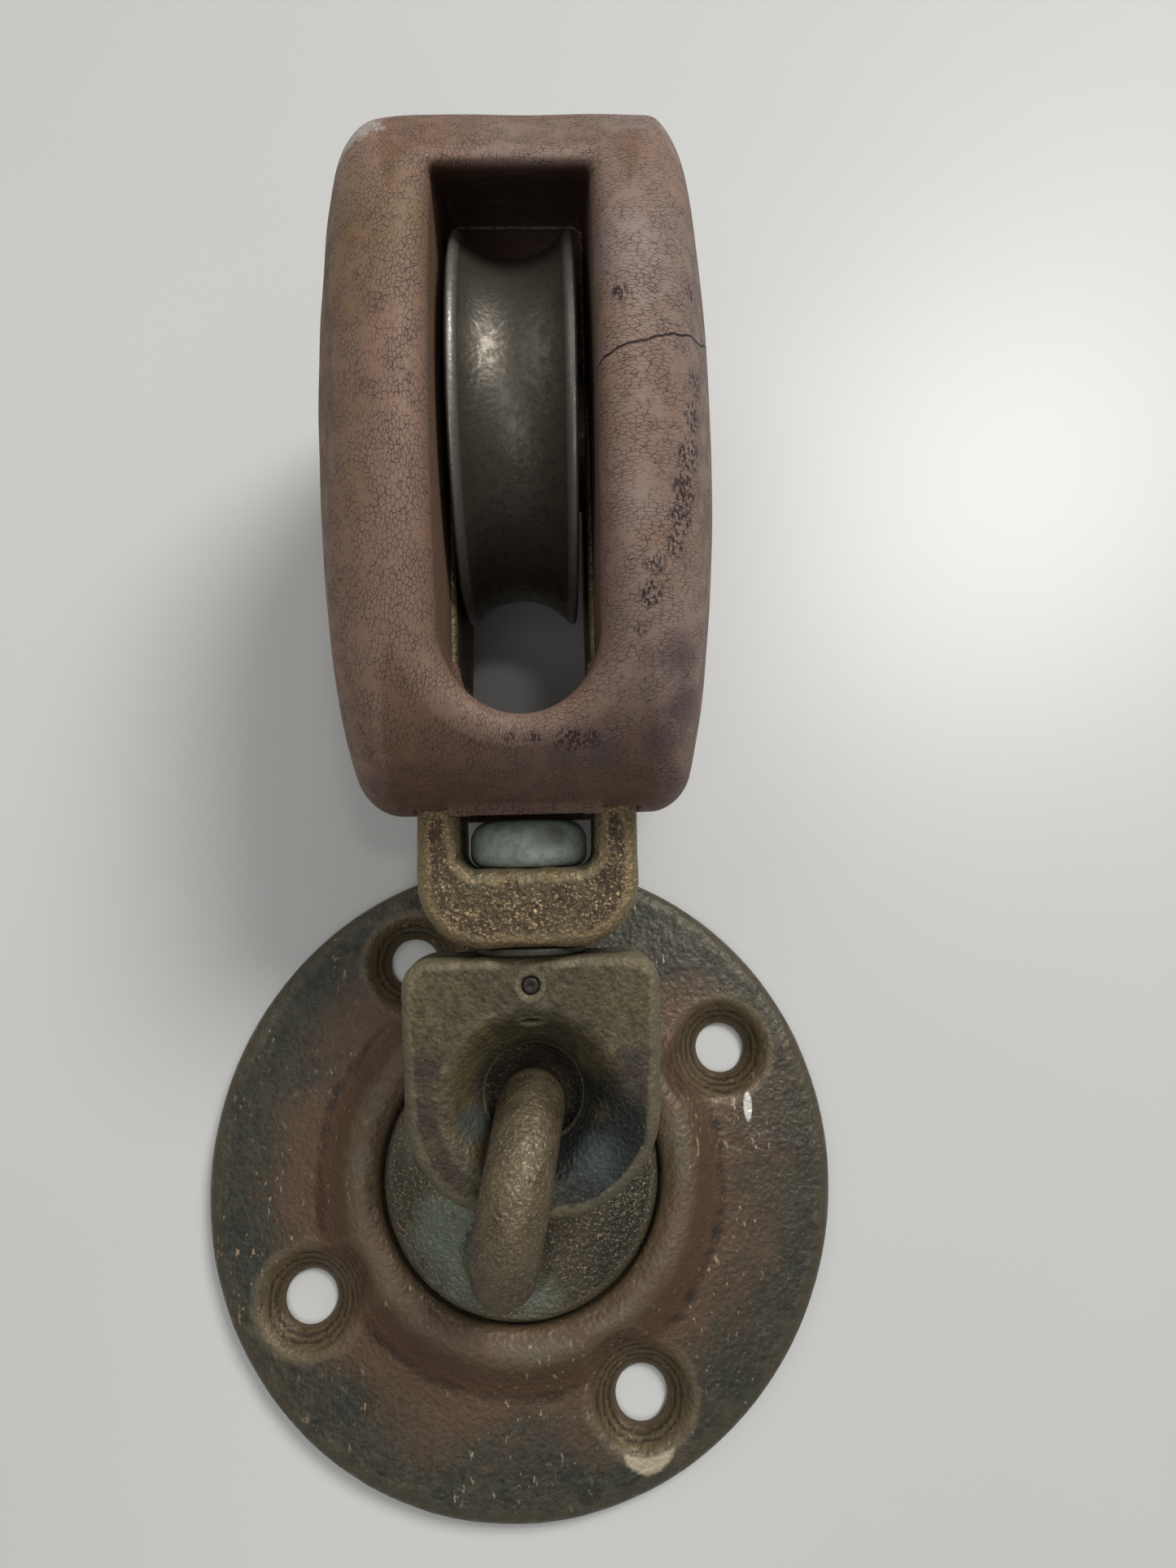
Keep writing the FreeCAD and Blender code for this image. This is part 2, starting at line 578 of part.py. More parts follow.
# ---------------------------------------------------------------- sheave and axle
def make_sheave():
    """Grooved bronze sheave, its bush, the axle through both arms and its fastenings."""
    place = BLOCK_PLACE.multiply(Placement(Vector(-size("Sizes.sheave_offset"), size(AXLE), 0), Rotation()))
    body = turned_body("sheave_turned", [
        ("Sizes.bush_radius + Sizes.slip", "-Sizes.hub_half_width"),
        ("Sizes.hub_radius", "-Sizes.hub_half_width"),
        ("Sizes.hub_radius + 1.5", "-Sizes.web_half_width"),
        ("Sizes.web_outer_radius - 1.5", "-Sizes.web_half_width"),
        ("Sizes.web_outer_radius", "-Sizes.sheave_half_width"),
        ("Sizes.sheave_radius", "-Sizes.sheave_half_width"),
        ("Sizes.sheave_radius", "Sizes.sheave_half_width"),
        ("Sizes.web_outer_radius", "Sizes.sheave_half_width"),
        ("Sizes.web_outer_radius - 1.5", "Sizes.web_half_width"),
        ("Sizes.hub_radius + 1.5", "Sizes.web_half_width"),
        ("Sizes.hub_radius", "Sizes.hub_half_width"),
        ("Sizes.bush_radius + Sizes.slip", "Sizes.hub_half_width"),
    ])
    groove = bind(doc.addObject("Part::Torus", "sheave_groove"), Radius2="Sizes.groove_round",
                  Radius1="Sizes.sheave_radius - Sizes.groove_depth + Sizes.groove_round")
    grooved = cut("sheave_grooved", body, [groove])
    turn = Placement(Vector(), Rotation(Vector(0, 1, 0), 90))
    finish(grooved, "sheave", place.multiply(turn))

    offset = "-Sizes.sheave_offset"
    bush_at = dict(x="%s - Sizes.bush_half_width" % offset, y=AXLE, **ALONG_X)
    bush_length = "2 * Sizes.bush_half_width"
    bush_blank = cylinder("bush_blank", "Sizes.bush_radius", bush_length, **bush_at)
    bush_bore = cylinder("bush_bore", "Sizes.axle_radius + Sizes.axle_running_gap", bush_length, **bush_at)
    finish(cut("bush", bush_blank, [bush_bore]), "sheave_bush", BLOCK_PLACE)

    arm = "Sizes.window_half_width"
    room = "(%s - Sizes.bush_half_width %s Sizes.sheave_offset)"
    for side, label, sign in ((-1, "left_thrust_washer", "-"), (1, "right_thrust_washer", "+")):
        thickness = "(%s - 2 * Sizes.washer_gap)" % (room % (arm, sign))
        start = ("Sizes.washer_gap - %s" % arm if side < 0
                 else "%s - Sizes.washer_gap - %s" % (arm, thickness))
        spot = dict(x=start, y=AXLE, **ALONG_X)
        blank = cylinder(label + "_blank", "Sizes.thrust_washer_radius", thickness, **spot)
        bore = cylinder(label + "_bore", "Sizes.axle_radius + Sizes.slip", thickness, **spot)
        finish(cut(label + "_cut", blank, [bore]), label, BLOCK_PLACE)

    head_under = "(Sizes.axle_end - Sizes.axle_head_thickness)"
    for side, label in ((-1, "left_cheek_washer"), (1, "right_cheek_washer")):
        start = ("-%s" % head_under if side < 0 else "%s - Sizes.cheek_washer_thickness" % head_under)
        spot = dict(x=start, y=AXLE, **ALONG_X)
        thickness = "Sizes.cheek_washer_thickness - 0.02"
        blank = cylinder(label + "_blank", "Sizes.cheek_washer_radius", thickness, **spot)
        bore = cylinder(label + "_bore", "Sizes.axle_radius + Sizes.slip", thickness, **spot)
        finish(cut(label + "_cut", blank, [bore]), label, BLOCK_PLACE)

    shaft_end = "(%s - Sizes.washer_gap)" % head_under
    head = cylinder("axle_head", "Sizes.axle_head_radius", "Sizes.axle_head_thickness - Sizes.slip",
                    x="-Sizes.axle_end", y=AXLE, **ALONG_X)
    shaft = cylinder("axle_shaft", "Sizes.axle_radius", "%s + %s" % (shaft_end, head_under),
                     x="-" + head_under + " - Sizes.slip", y=AXLE, **ALONG_X)
    thread = cylinder("axle_thread", "Sizes.axle_thread_radius", "Sizes.axle_thread_length + 1",
                      x="%s - 1" % shaft_end, y=AXLE, **ALONG_X)
    slot = box("axle_slot", "Sizes.slot_depth + 1", "Sizes.slot_width", "4 * Sizes.axle_head_radius",
               x="-Sizes.axle_end - 1", y="%s - Sizes.slot_width / 2" % AXLE,
               z="-2 * Sizes.axle_head_radius")
    finish(cut("axle", fuse("axle_solid", [head, shaft, thread]), [slot]), "axle_pin", BLOCK_PLACE)

    nut_blank = cylinder("nut_blank", "Sizes.axle_head_radius", "Sizes.axle_head_thickness - Sizes.slip",
                         x="%s + Sizes.slip" % head_under, y=AXLE, **ALONG_X)
    nut_bore = cylinder("nut_bore", "Sizes.axle_thread_radius + Sizes.slip",
                        "Sizes.axle_thread_length + 0.1", x=head_under, y=AXLE, **ALONG_X)
    spanner = [cylinder("nut_spanner_%d" % n, "Sizes.spanner_radius", "Sizes.slot_depth + 1",
                        x="Sizes.axle_end - Sizes.slot_depth", y=AXLE,
                        z="%d * Sizes.spanner_circle" % side, **ALONG_X)
               for n, side in enumerate((-1, 1))]
    finish(cut("nut", nut_blank, [nut_bore] + spanner), "axle_cap_nut", BLOCK_PLACE)


make_base_plate()
make_swivel_eye()
make_eye_link()
make_strap()
make_shell()
make_sheave()
doc.recompute()

failed = [obj.Name for obj in doc.Objects if "Invalid" in obj.State or "Error" in obj.State]
if failed:
    raise RuntimeError("failed objects: " + ", ".join(failed))

os.makedirs("parts", exist_ok=True)
for obj in sub_parts:
    shape = obj.Shape
    if shape.isNull() or not shape.isValid():
        raise RuntimeError(obj.Label + " has no valid shape")
    reach = shape.optimalBoundingBox()
    print("%-20s volume %9.1f mm3, solids %d, Z %.2f to %.2f" % (
        obj.Label, shape.Volume, len(shape.Solids), reach.ZMin, reach.ZMax))
    shape.exportStep("parts/%s.step" % obj.Label)
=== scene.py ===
"""Looks of the swivel deck block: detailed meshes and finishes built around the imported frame.

Fields, outlines and sizes are in millimetres in the frame of the sub-assembly they belong to,
and every mesh is put into the row's frame in metres as it is made.
"""
import json
import logging
import math
from dataclasses import dataclass
from enum import Enum
from typing import Callable, Sequence

import bpy
import numpy as np
from mathutils import Matrix, Vector


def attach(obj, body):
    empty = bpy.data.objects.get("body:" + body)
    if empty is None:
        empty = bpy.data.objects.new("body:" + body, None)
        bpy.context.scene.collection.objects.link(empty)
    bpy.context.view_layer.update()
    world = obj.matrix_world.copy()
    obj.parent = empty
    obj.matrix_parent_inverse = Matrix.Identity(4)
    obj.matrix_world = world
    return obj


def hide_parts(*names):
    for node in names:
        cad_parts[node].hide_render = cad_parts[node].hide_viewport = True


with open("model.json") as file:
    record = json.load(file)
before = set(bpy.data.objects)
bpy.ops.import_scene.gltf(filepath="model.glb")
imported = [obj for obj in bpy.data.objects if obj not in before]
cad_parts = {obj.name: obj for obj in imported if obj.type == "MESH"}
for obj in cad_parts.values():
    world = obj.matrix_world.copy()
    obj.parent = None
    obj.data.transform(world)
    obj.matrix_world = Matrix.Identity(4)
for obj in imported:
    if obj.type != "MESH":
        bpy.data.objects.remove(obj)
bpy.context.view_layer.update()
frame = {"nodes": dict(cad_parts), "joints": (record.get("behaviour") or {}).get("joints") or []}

MM = 0.001
LOG = logging.getLogger("deck_block")
Field = Callable[[np.ndarray], np.ndarray]
Colour = tuple[float, float, float]


# ---------------------------------------------------------------- places
@dataclass(frozen=True)
class Place:
    """A sub-assembly's own frame inside the row's frame.

    Attributes:
        origin: the frame's origin in metres.
        across: unit X axis.
        along: unit Y axis.
        up: unit Z axis.
    """

    origin: Vector
    across: Vector
    along: Vector
    up: Vector

    def matrix(self) -> Matrix:
        """Matrix from this frame in millimetres to the row's frame in metres."""
        turn = Matrix((self.across, self.along, self.up)).transposed().to_4x4()
        return Matrix.Translation(self.origin) @ turn @ Matrix.Scale(MM, 4)

    def moved(self, x: float = 0.0, y: float = 0.0, z: float = 0.0) -> "Place":
        """The same axes at another origin, given in this frame in millimetres."""
        origin = self.matrix() @ Vector((x, y, z))
        return Place(origin, self.across, self.along, self.up)


@dataclass(frozen=True)
class Stations:
    """Where things lie along the block's long axis, from the centre of the link's hole."""

    link_head: float = 20.4
    crown: float = 21.6
    window: float = 33.0
    shell_start: float = 40.9
    shell_centre: float = 90.9
    throat_low: float = 53.0
    throat_high: float = 134.3
    axle: float = 99.5
    stud_pivot: float = 28.0


def joint(name: str) -> dict:
    """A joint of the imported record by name."""
    return next(item for item in frame["joints"] if item["name"] == name)


def make_places(stations: Stations) -> dict[str, Place]:
    """Frames of the plate, the bail, the block and the sheave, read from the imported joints.

    Args:
        stations: distances along the block's axis.

    Returns:
        The frames by name.
    """
    upright = Vector((0, 0, 1))
    plate = Place(Vector(), Vector((1, 0, 0)), Vector((0, 1, 0)), upright)
    side = Vector(joint("link_swing")["axis"]).normalized()
    bail = Place(Vector(), side, upright.cross(side), upright)
    across = Vector(joint("sheave_spin")["axis"]).normalized()
    along = Vector(joint("block_swivel")["axis"]).normalized()
    pivot = Vector(joint("block_swivel")["pos_m"])
    block = Place(pivot - along * stations.stud_pivot * MM, across, along, across.cross(along))
    sheave = Place(Vector(joint("sheave_spin")["pos_m"]), across, along, across.cross(along))
    return {"plate": plate, "bail": bail, "block": block, "sheave": sheave}


# ---------------------------------------------------------------- distance fields
def edge_and(a: np.ndarray, b: np.ndarray, radius: float) -> np.ndarray:
    """What two fields share, with the edge between them rounded to a radius."""
    inner = np.minimum(np.maximum(a, b), -radius)
    return inner + np.hypot(np.maximum(a + radius, 0), np.maximum(b + radius, 0))


def edge_or(a: np.ndarray, b: np.ndarray, radius: float) -> np.ndarray:
    """Union of two fields, with the hollow between them filled to a radius."""
    return -edge_and(-a, -b, radius)


def less(a: np.ndarray, b: np.ndarray, radius: float) -> np.ndarray:
    """First field less the second, with the new edge rounded to a radius."""
    return edge_and(a, -b, radius)


def slab(p: np.ndarray, axis: int, low: float, high: float) -> np.ndarray:
    """Field of the space between two parallel planes."""
    return np.abs(p[:, axis] - 0.5 * (low + high)) - 0.5 * (high - low)


def rod(p: np.ndarray, axis: int, centre: tuple[float, float], radius: float) -> np.ndarray:
    """Field of an endless rod along an axis; centre is its place on the two next axes."""
    one, two = (axis + 1) % 3, (axis + 2) % 3
    return np.hypot(p[:, one] - centre[0], p[:, two] - centre[1]) - radius


def ripple(p: np.ndarray, length: float, seed: int) -> np.ndarray:
    """Smooth unevenness between about -1 and 1 with features of a given length.

    Args:
        p: points, one to a row.
        length: typical length of a feature.
        seed: number that fixes the pattern.

    Returns:
        The unevenness at each point.
    """
    random = np.random.default_rng(seed)
    total = np.zeros(len(p))
    for _ in range(9):
        direction = random.normal(size=3)
        direction *= random.uniform(0.6, 1.6) / (np.linalg.norm(direction) * length)
        total += np.sin(2 * math.pi * (p @ direction) + random.uniform(0, 6.28))
    return total / 4.5


def slope_of(surface: Field, p: np.ndarray, reach: float = 0.04) -> np.ndarray:
    """Gradient of a field by central differences.

    Args:
        surface: the field.
        p: points, one to a row.
        reach: step of the differences.

    Returns:
        The gradient at each point.
    """
    out = np.empty_like(p)
    for axis in range(3):
        step = np.zeros(3)
        step[axis] = reach
        out[:, axis] = (surface(p + step) - surface(p - step)) / (2 * reach)
    return out


def onto(surface: Field, p: np.ndarray, rounds: int = 3) -> np.ndarray:
    """Points moved onto a field's zero surface along its gradient.

    Args:
        surface: the field.
        p: points, one to a row.
        rounds: how often they are moved.

    Returns:
        The moved points.
    """
    for _ in range(rounds):
        slope = slope_of(surface, p)
        square = np.maximum((slope ** 2).sum(1), 0.05)
        p = p - np.clip(surface(p) / square, -1.0, 1.0)[:, None] * slope
    return p


@dataclass
class Net:
    """A quad mesh over a field's zero surface.

    Attributes:
        points: vertices in millimetres.
        quads: four vertex numbers to a face.
    """

    points: np.ndarray
    quads: np.ndarray

    def neighbour_mean(self, values: np.ndarray) -> np.ndarray:
        """Mean over each vertex's neighbours of values given per vertex.

        Args:
            values: a row of values for each vertex.

        Returns:
            The mean rows.
        """
        ends = np.vstack([self.quads[:, (n, (n + 1) % 4)] for n in range(4)])
        ends = np.vstack([ends, ends[:, ::-1]])
        count = np.maximum(np.bincount(ends[:, 0], minlength=len(self.points)), 1)
        total = [np.bincount(ends[:, 0], values[ends[:, 1], n], len(self.points))
                 for n in range(values.shape[1])]
        return np.stack(total, 1) / count[:, None]

    def bulge(self, normals: np.ndarray, rounds: int = 3) -> np.ndarray:
        """How far the surface bulges at each vertex: above 0 on edges, below 0 in hollows.

        Args:
            normals: unit normal of each vertex.
            rounds: how often the result is smoothed.

        Returns:
            The bulge of each vertex in millimetres.
        """
        bend = ((self.points - self.neighbour_mean(self.points)) * normals).sum(1)[:, None]
        for _ in range(rounds):
            bend = 0.5 * (bend + self.neighbour_mean(bend))
        return bend[:, 0]


def cast(surface: Field, low: Sequence[float], high: Sequence[float], step: float) -> Net:
    """Quad mesh of a field's zero surface, evened out and settled onto it.

    Args:
        surface: the field, below 0 inside.
        low: lowest corner of the space searched.
        high: highest corner of that space.
        step: grid pitch, which is about the mesh's edge length.

    Returns:
        The mesh.
    """
    count = [int(math.ceil((b - a) / step)) + 1 for a, b in zip(low, high)]
    lines = [a + step * np.arange(n) for a, n in zip(low, count)]
    sheet = np.stack(np.meshgrid(lines[1], lines[2], indexing="ij"), -1).reshape(-1, 2)
    solid = np.empty(count, bool)
    for n, x in enumerate(lines[0]):
        spots = np.column_stack([np.full(len(sheet), x), sheet])
        solid[n] = (surface(spots) < 0).reshape(count[1:])
    corners = sum(solid[i:count[0] - 1 + i, j:count[1] - 1 + j, k:count[2] - 1 + k].astype(np.int8)
                  for i in (0, 1) for j in (0, 1) for k in (0, 1))
    active = (corners > 0) & (corners < 8)
    number = np.full(active.shape, -1)
    number[active] = np.arange(active.sum())
    points = (np.argwhere(active) + 0.5) * step + np.array(low)
    quads = []
    for axis in range(3):
        order = (axis, (axis + 1) % 3, (axis + 2) % 3)
        inside = solid.transpose(order)
        cells = number.transpose(order)
        first, second = inside[:-1, 1:-1, 1:-1], inside[1:, 1:-1, 1:-1]
        for leaving in (True, False):
            i, j, k = np.nonzero((first & ~second) if leaving else (~first & second))
            ring = [cells[i, j, k], cells[i, j + 1, k], cells[i, j + 1, k + 1], cells[i, j, k + 1]]
            quads.append(np.stack(ring if leaving else ring[::-1], 1))
    net = Net(points, np.vstack(quads))
    net.points = onto(surface, net.points)
    for _ in range(5):
        slope = slope_of(surface, net.points)
        normal = slope / np.maximum(np.linalg.norm(slope, axis=1), 1e-6)[:, None]
        pull = net.neighbour_mean(net.points) - net.points
        pull -= (pull * normal).sum(1)[:, None] * normal
        net.points = onto(surface, net.points + 0.6 * pull, 2)
    return net


# ---------------------------------------------------------------- turned outlines
def filleted(corners: Sequence[tuple[float, float, float]], closed: bool = True) -> list[tuple[float, float]]:
    """Outline through corners, each rounded to its own radius.

    Args:
        corners: place along the axis, distance from it, and corner radius.
        closed: whether the last corner joins the first.

    Returns:
        Points of the outline.
    """
    out: list[tuple[float, float]] = []
    count = len(corners)
    for n, (x, y, radius) in enumerate(corners):
        here = np.array((x, y))
        if radius <= 0 or (not closed and n in (0, count - 1)):
            out.append((x, y))
            continue
        before = np.array(corners[n - 1][:2]) - here
        after = np.array(corners[(n + 1) % count][:2]) - here
        reach = min(np.linalg.norm(before), np.linalg.norm(after)) * 0.49
        before /= np.linalg.norm(before)
        after /= np.linalg.norm(after)
        half = 0.5 * math.acos(float(np.clip(before @ after, -1, 1)))
        cut = min(radius / max(math.tan(half), 1e-6), reach)
        radius = cut * math.tan(half)
        bisector = before + after
        if np.linalg.norm(bisector) < 1e-6:
            out.append((x, y))
            continue
        centre = here + bisector / np.linalg.norm(bisector) * (radius / math.sin(half))
        start, end = here + before * cut - centre, here + after * cut - centre
        turn = math.atan2(start[0] * end[1] - start[1] * end[0], float(start @ end))
        steps = max(3, int(abs(turn) / 0.16))
        for m in range(steps + 1):
            a = turn * m / steps
            spin = np.array(((math.cos(a), -math.sin(a)), (math.sin(a), math.cos(a))))
            out.append(tuple(centre + spin @ start))
    return out


def turned(outline: Sequence[tuple[float, float]], around: int = 128) -> Net:
    """Closed outline turned about the X axis.

    Args:
        outline: places along the axis and distances from it.
        around: number of steps round the axis.

    Returns:
        The mesh.
    """
    shape = np.array(outline)
    following = np.roll(shape, -1, axis=0)
    area = 0.5 * float(np.sum(shape[:, 0] * following[:, 1] - following[:, 0] * shape[:, 1]))
    if area < 0:
        shape = shape[::-1]
    angle = np.arange(around) * 2 * math.pi / around
    x = np.repeat(shape[None, :, 0], around, 0)
    y = np.cos(angle)[:, None] * shape[None, :, 1]
    z = np.sin(angle)[:, None] * shape[None, :, 1]
    points = np.stack([x, y, z], -1).reshape(-1, 3)
    n = len(shape)
    i, j = np.meshgrid(np.arange(around), np.arange(n), indexing="ij")
    i, j = i.ravel(), j.ravel()
    ring, step = ((i + 1) % around) * n, (j + 1) % n
    quads = np.stack([i * n + j, i * n + step, ring + step, ring + j], 1)
    return Net(points, quads)


# ---------------------------------------------------------------- pieces
class Workshop:
    """Turns meshes into pieces of the object, in place, riding and dressed."""

    def __init__(self, places: dict[str, Place]) -> None:
        """Keep the frames that pieces are made in."""
        self.places = places

    def piece(self, name: str, net: Net, place: Place, body: str, nodes: Sequence[str],
              slot: str, material: bpy.types.Material) -> bpy.types.Object:
        """Make a piece that replaces CAD nodes.

        Args:
            name: the piece's name.
            net: its mesh, in its own frame in millimetres.
            place: that frame.
            body: the CAD body that it rides on.
            nodes: the CAD nodes that it stands for.
            slot: the record's material slot; not used.
            material: what it is dressed in.

        Returns:
            The new object.
        """
        mesh = bpy.data.meshes.new(name)
        matrix = np.array(place.matrix())
        world = net.points @ matrix[:3, :3].T + matrix[:3, 3]
        mesh.vertices.add(len(world))
        mesh.vertices.foreach_set("co", world.ravel())
        mesh.loops.add(net.quads.size)
        mesh.loops.foreach_set("vertex_index", net.quads.ravel().astype(np.int32))
        mesh.polygons.add(len(net.quads))
        mesh.polygons.foreach_set("loop_start", np.arange(0, net.quads.size, 4, dtype=np.int32))
        mesh.update(calc_edges=True)
        mesh.validate()
        mesh.shade_smooth()
        normals = np.empty(len(world) * 3)
        mesh.vertex_normals.foreach_get("vector", normals)
        local = normals.reshape(-1, 3) @ (matrix[:3, :3] / MM)
        self._store(mesh, "place", "FLOAT_VECTOR", "vector", net.points)
        self._store(mesh, "bulge", "FLOAT", "value", net.bulge(local))
        item = bpy.data.objects.new(name, mesh)
        bpy.context.scene.collection.objects.link(item)
        mesh.materials.append(material)
        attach(item, body)
        if nodes:
            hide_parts(*nodes)
        LOG.info("%s: %d faces on %s", name, len(net.quads), body)
        return item

    @staticmethod
    def _store(mesh: bpy.types.Mesh, name: str, kind: str, key: str, values: np.ndarray) -> None:
        """Write a per-vertex attribute."""
        layer = mesh.attributes.new(name, kind, "POINT")
        layer.data.foreach_set(key, np.ascontiguousarray(values, dtype=np.float32).ravel())

    def dress(self, node: str, material: bpy.types.Material) -> None:
        """Give a CAD node that stays in view a finished material.

        Args:
            node: the CAD node's name.
            material: what it is dressed in.
        """
        item = frame["nodes"][node]
        item.data.materials.clear()
        item.data.materials.append(material)
        LOG.info("%s: kept from the frame", node)


# ---------------------------------------------------------------- node trees
class Nodes:
    """Short ways to add shader nodes to a tree."""

    def __init__(self, tree: bpy.types.NodeTree) -> None:
        """Keep the tree."""
        self.tree = tree

    def add(self, kind: str, inputs: dict | None = None, **settings: object) -> bpy.types.Node:
        """Add a node, set its properties and feed its inputs with sockets or constants.

        Args:
            kind: the node's type.
            inputs: values by input name or number.
            settings: the node's own properties.

        Returns:
            The node.
        """
        node = self.tree.nodes.new(kind)
        for key, value in settings.items():
            setattr(node, key, value)
        for key, value in (inputs or {}).items():
            self.feed(node.inputs[key], value)
        return node

    def feed(self, socket: bpy.types.NodeSocket, value: object) -> None:
        """Link a socket, or set its constant.

        Args:
            socket: the input.
            value: a socket, a number, or a tuple.
        """
        if isinstance(value, bpy.types.NodeSocket):
            self.tree.links.new(value, socket)
        elif socket.type == "RGBA" and len(value) == 3:
            socket.default_value = (*value, 1.0)
        else:
            socket.default_value = value

    def math(self, operation: str, *values: object, clamp: bool = False) -> bpy.types.NodeSocket:
        """Math node."""
        inputs = dict(enumerate(values))
        return self.add("ShaderNodeMath", inputs, operation=operation, use_clamp=clamp).outputs[0]

    def vector(self, operation: str, *values: object) -> bpy.types.Node:
        """Vector math node."""
        return self.add("ShaderNodeVectorMath", dict(enumerate(values)), operation=operation)

    def ramp(self, value: object, low: float, high: float, start: float = 0.0,
             end: float = 1.0) -> bpy.types.NodeSocket:
        """Smooth step from one value to another as the input goes from low to high."""
        inputs = {"Value": value, "From Min": low, "From Max": high, "To Min": start, "To Max": end}
        return self.add("ShaderNodeMapRange", inputs, interpolation_type="SMOOTHSTEP").outputs[0]

    def blend(self, share: object, one: object, two: object) -> bpy.types.NodeSocket:
        """Mix of two colours.

        Args:
            share: share of the second colour.
            one: first colour.
            two: second colour.

        Returns:
            The mixed colour.
        """
        node = self.add("ShaderNodeMix", data_type="RGBA", blend_type="MIX")
        for key, value in ((0, share), (6, one), (7, two)):
            self.feed(node.inputs[key], value)
        return node.outputs[2]

    def noise(self, place: object, scale: float, detail: float = 3.0,
              rough: float = 0.55) -> bpy.types.NodeSocket:
        """Fractal noise between about 0 and 1."""
        inputs = {"Vector": place, "Scale": scale, "Detail": detail, "Roughness": rough}
        return self.add("ShaderNodeTexNoise", inputs).outputs[0]

    def group(self, group: bpy.types.NodeTree, **inputs: object) -> bpy.types.Node:
        """Place a shared effect; input names take underscores for spaces.

        Args:
            group: the effect.
            inputs: its inputs by name.

        Returns:
            The group node.
        """
        node = self.add("ShaderNodeGroup", node_tree=group)
        for key, value in inputs.items():
            self.feed(node.inputs[key.replace("_", " ").title()], value)
        return node

    def bump(self, height: object, distance: float) -> bpy.types.NodeSocket:
        """Normal raised by a height; distance is in metres."""
        return self.add("ShaderNodeBump", {"Height": height, "Distance": distance}).outputs[0]


class Coordinates(Enum):
    """Where a material reads its place in millimetres."""

    OWN = "own"
    ROW = "row"


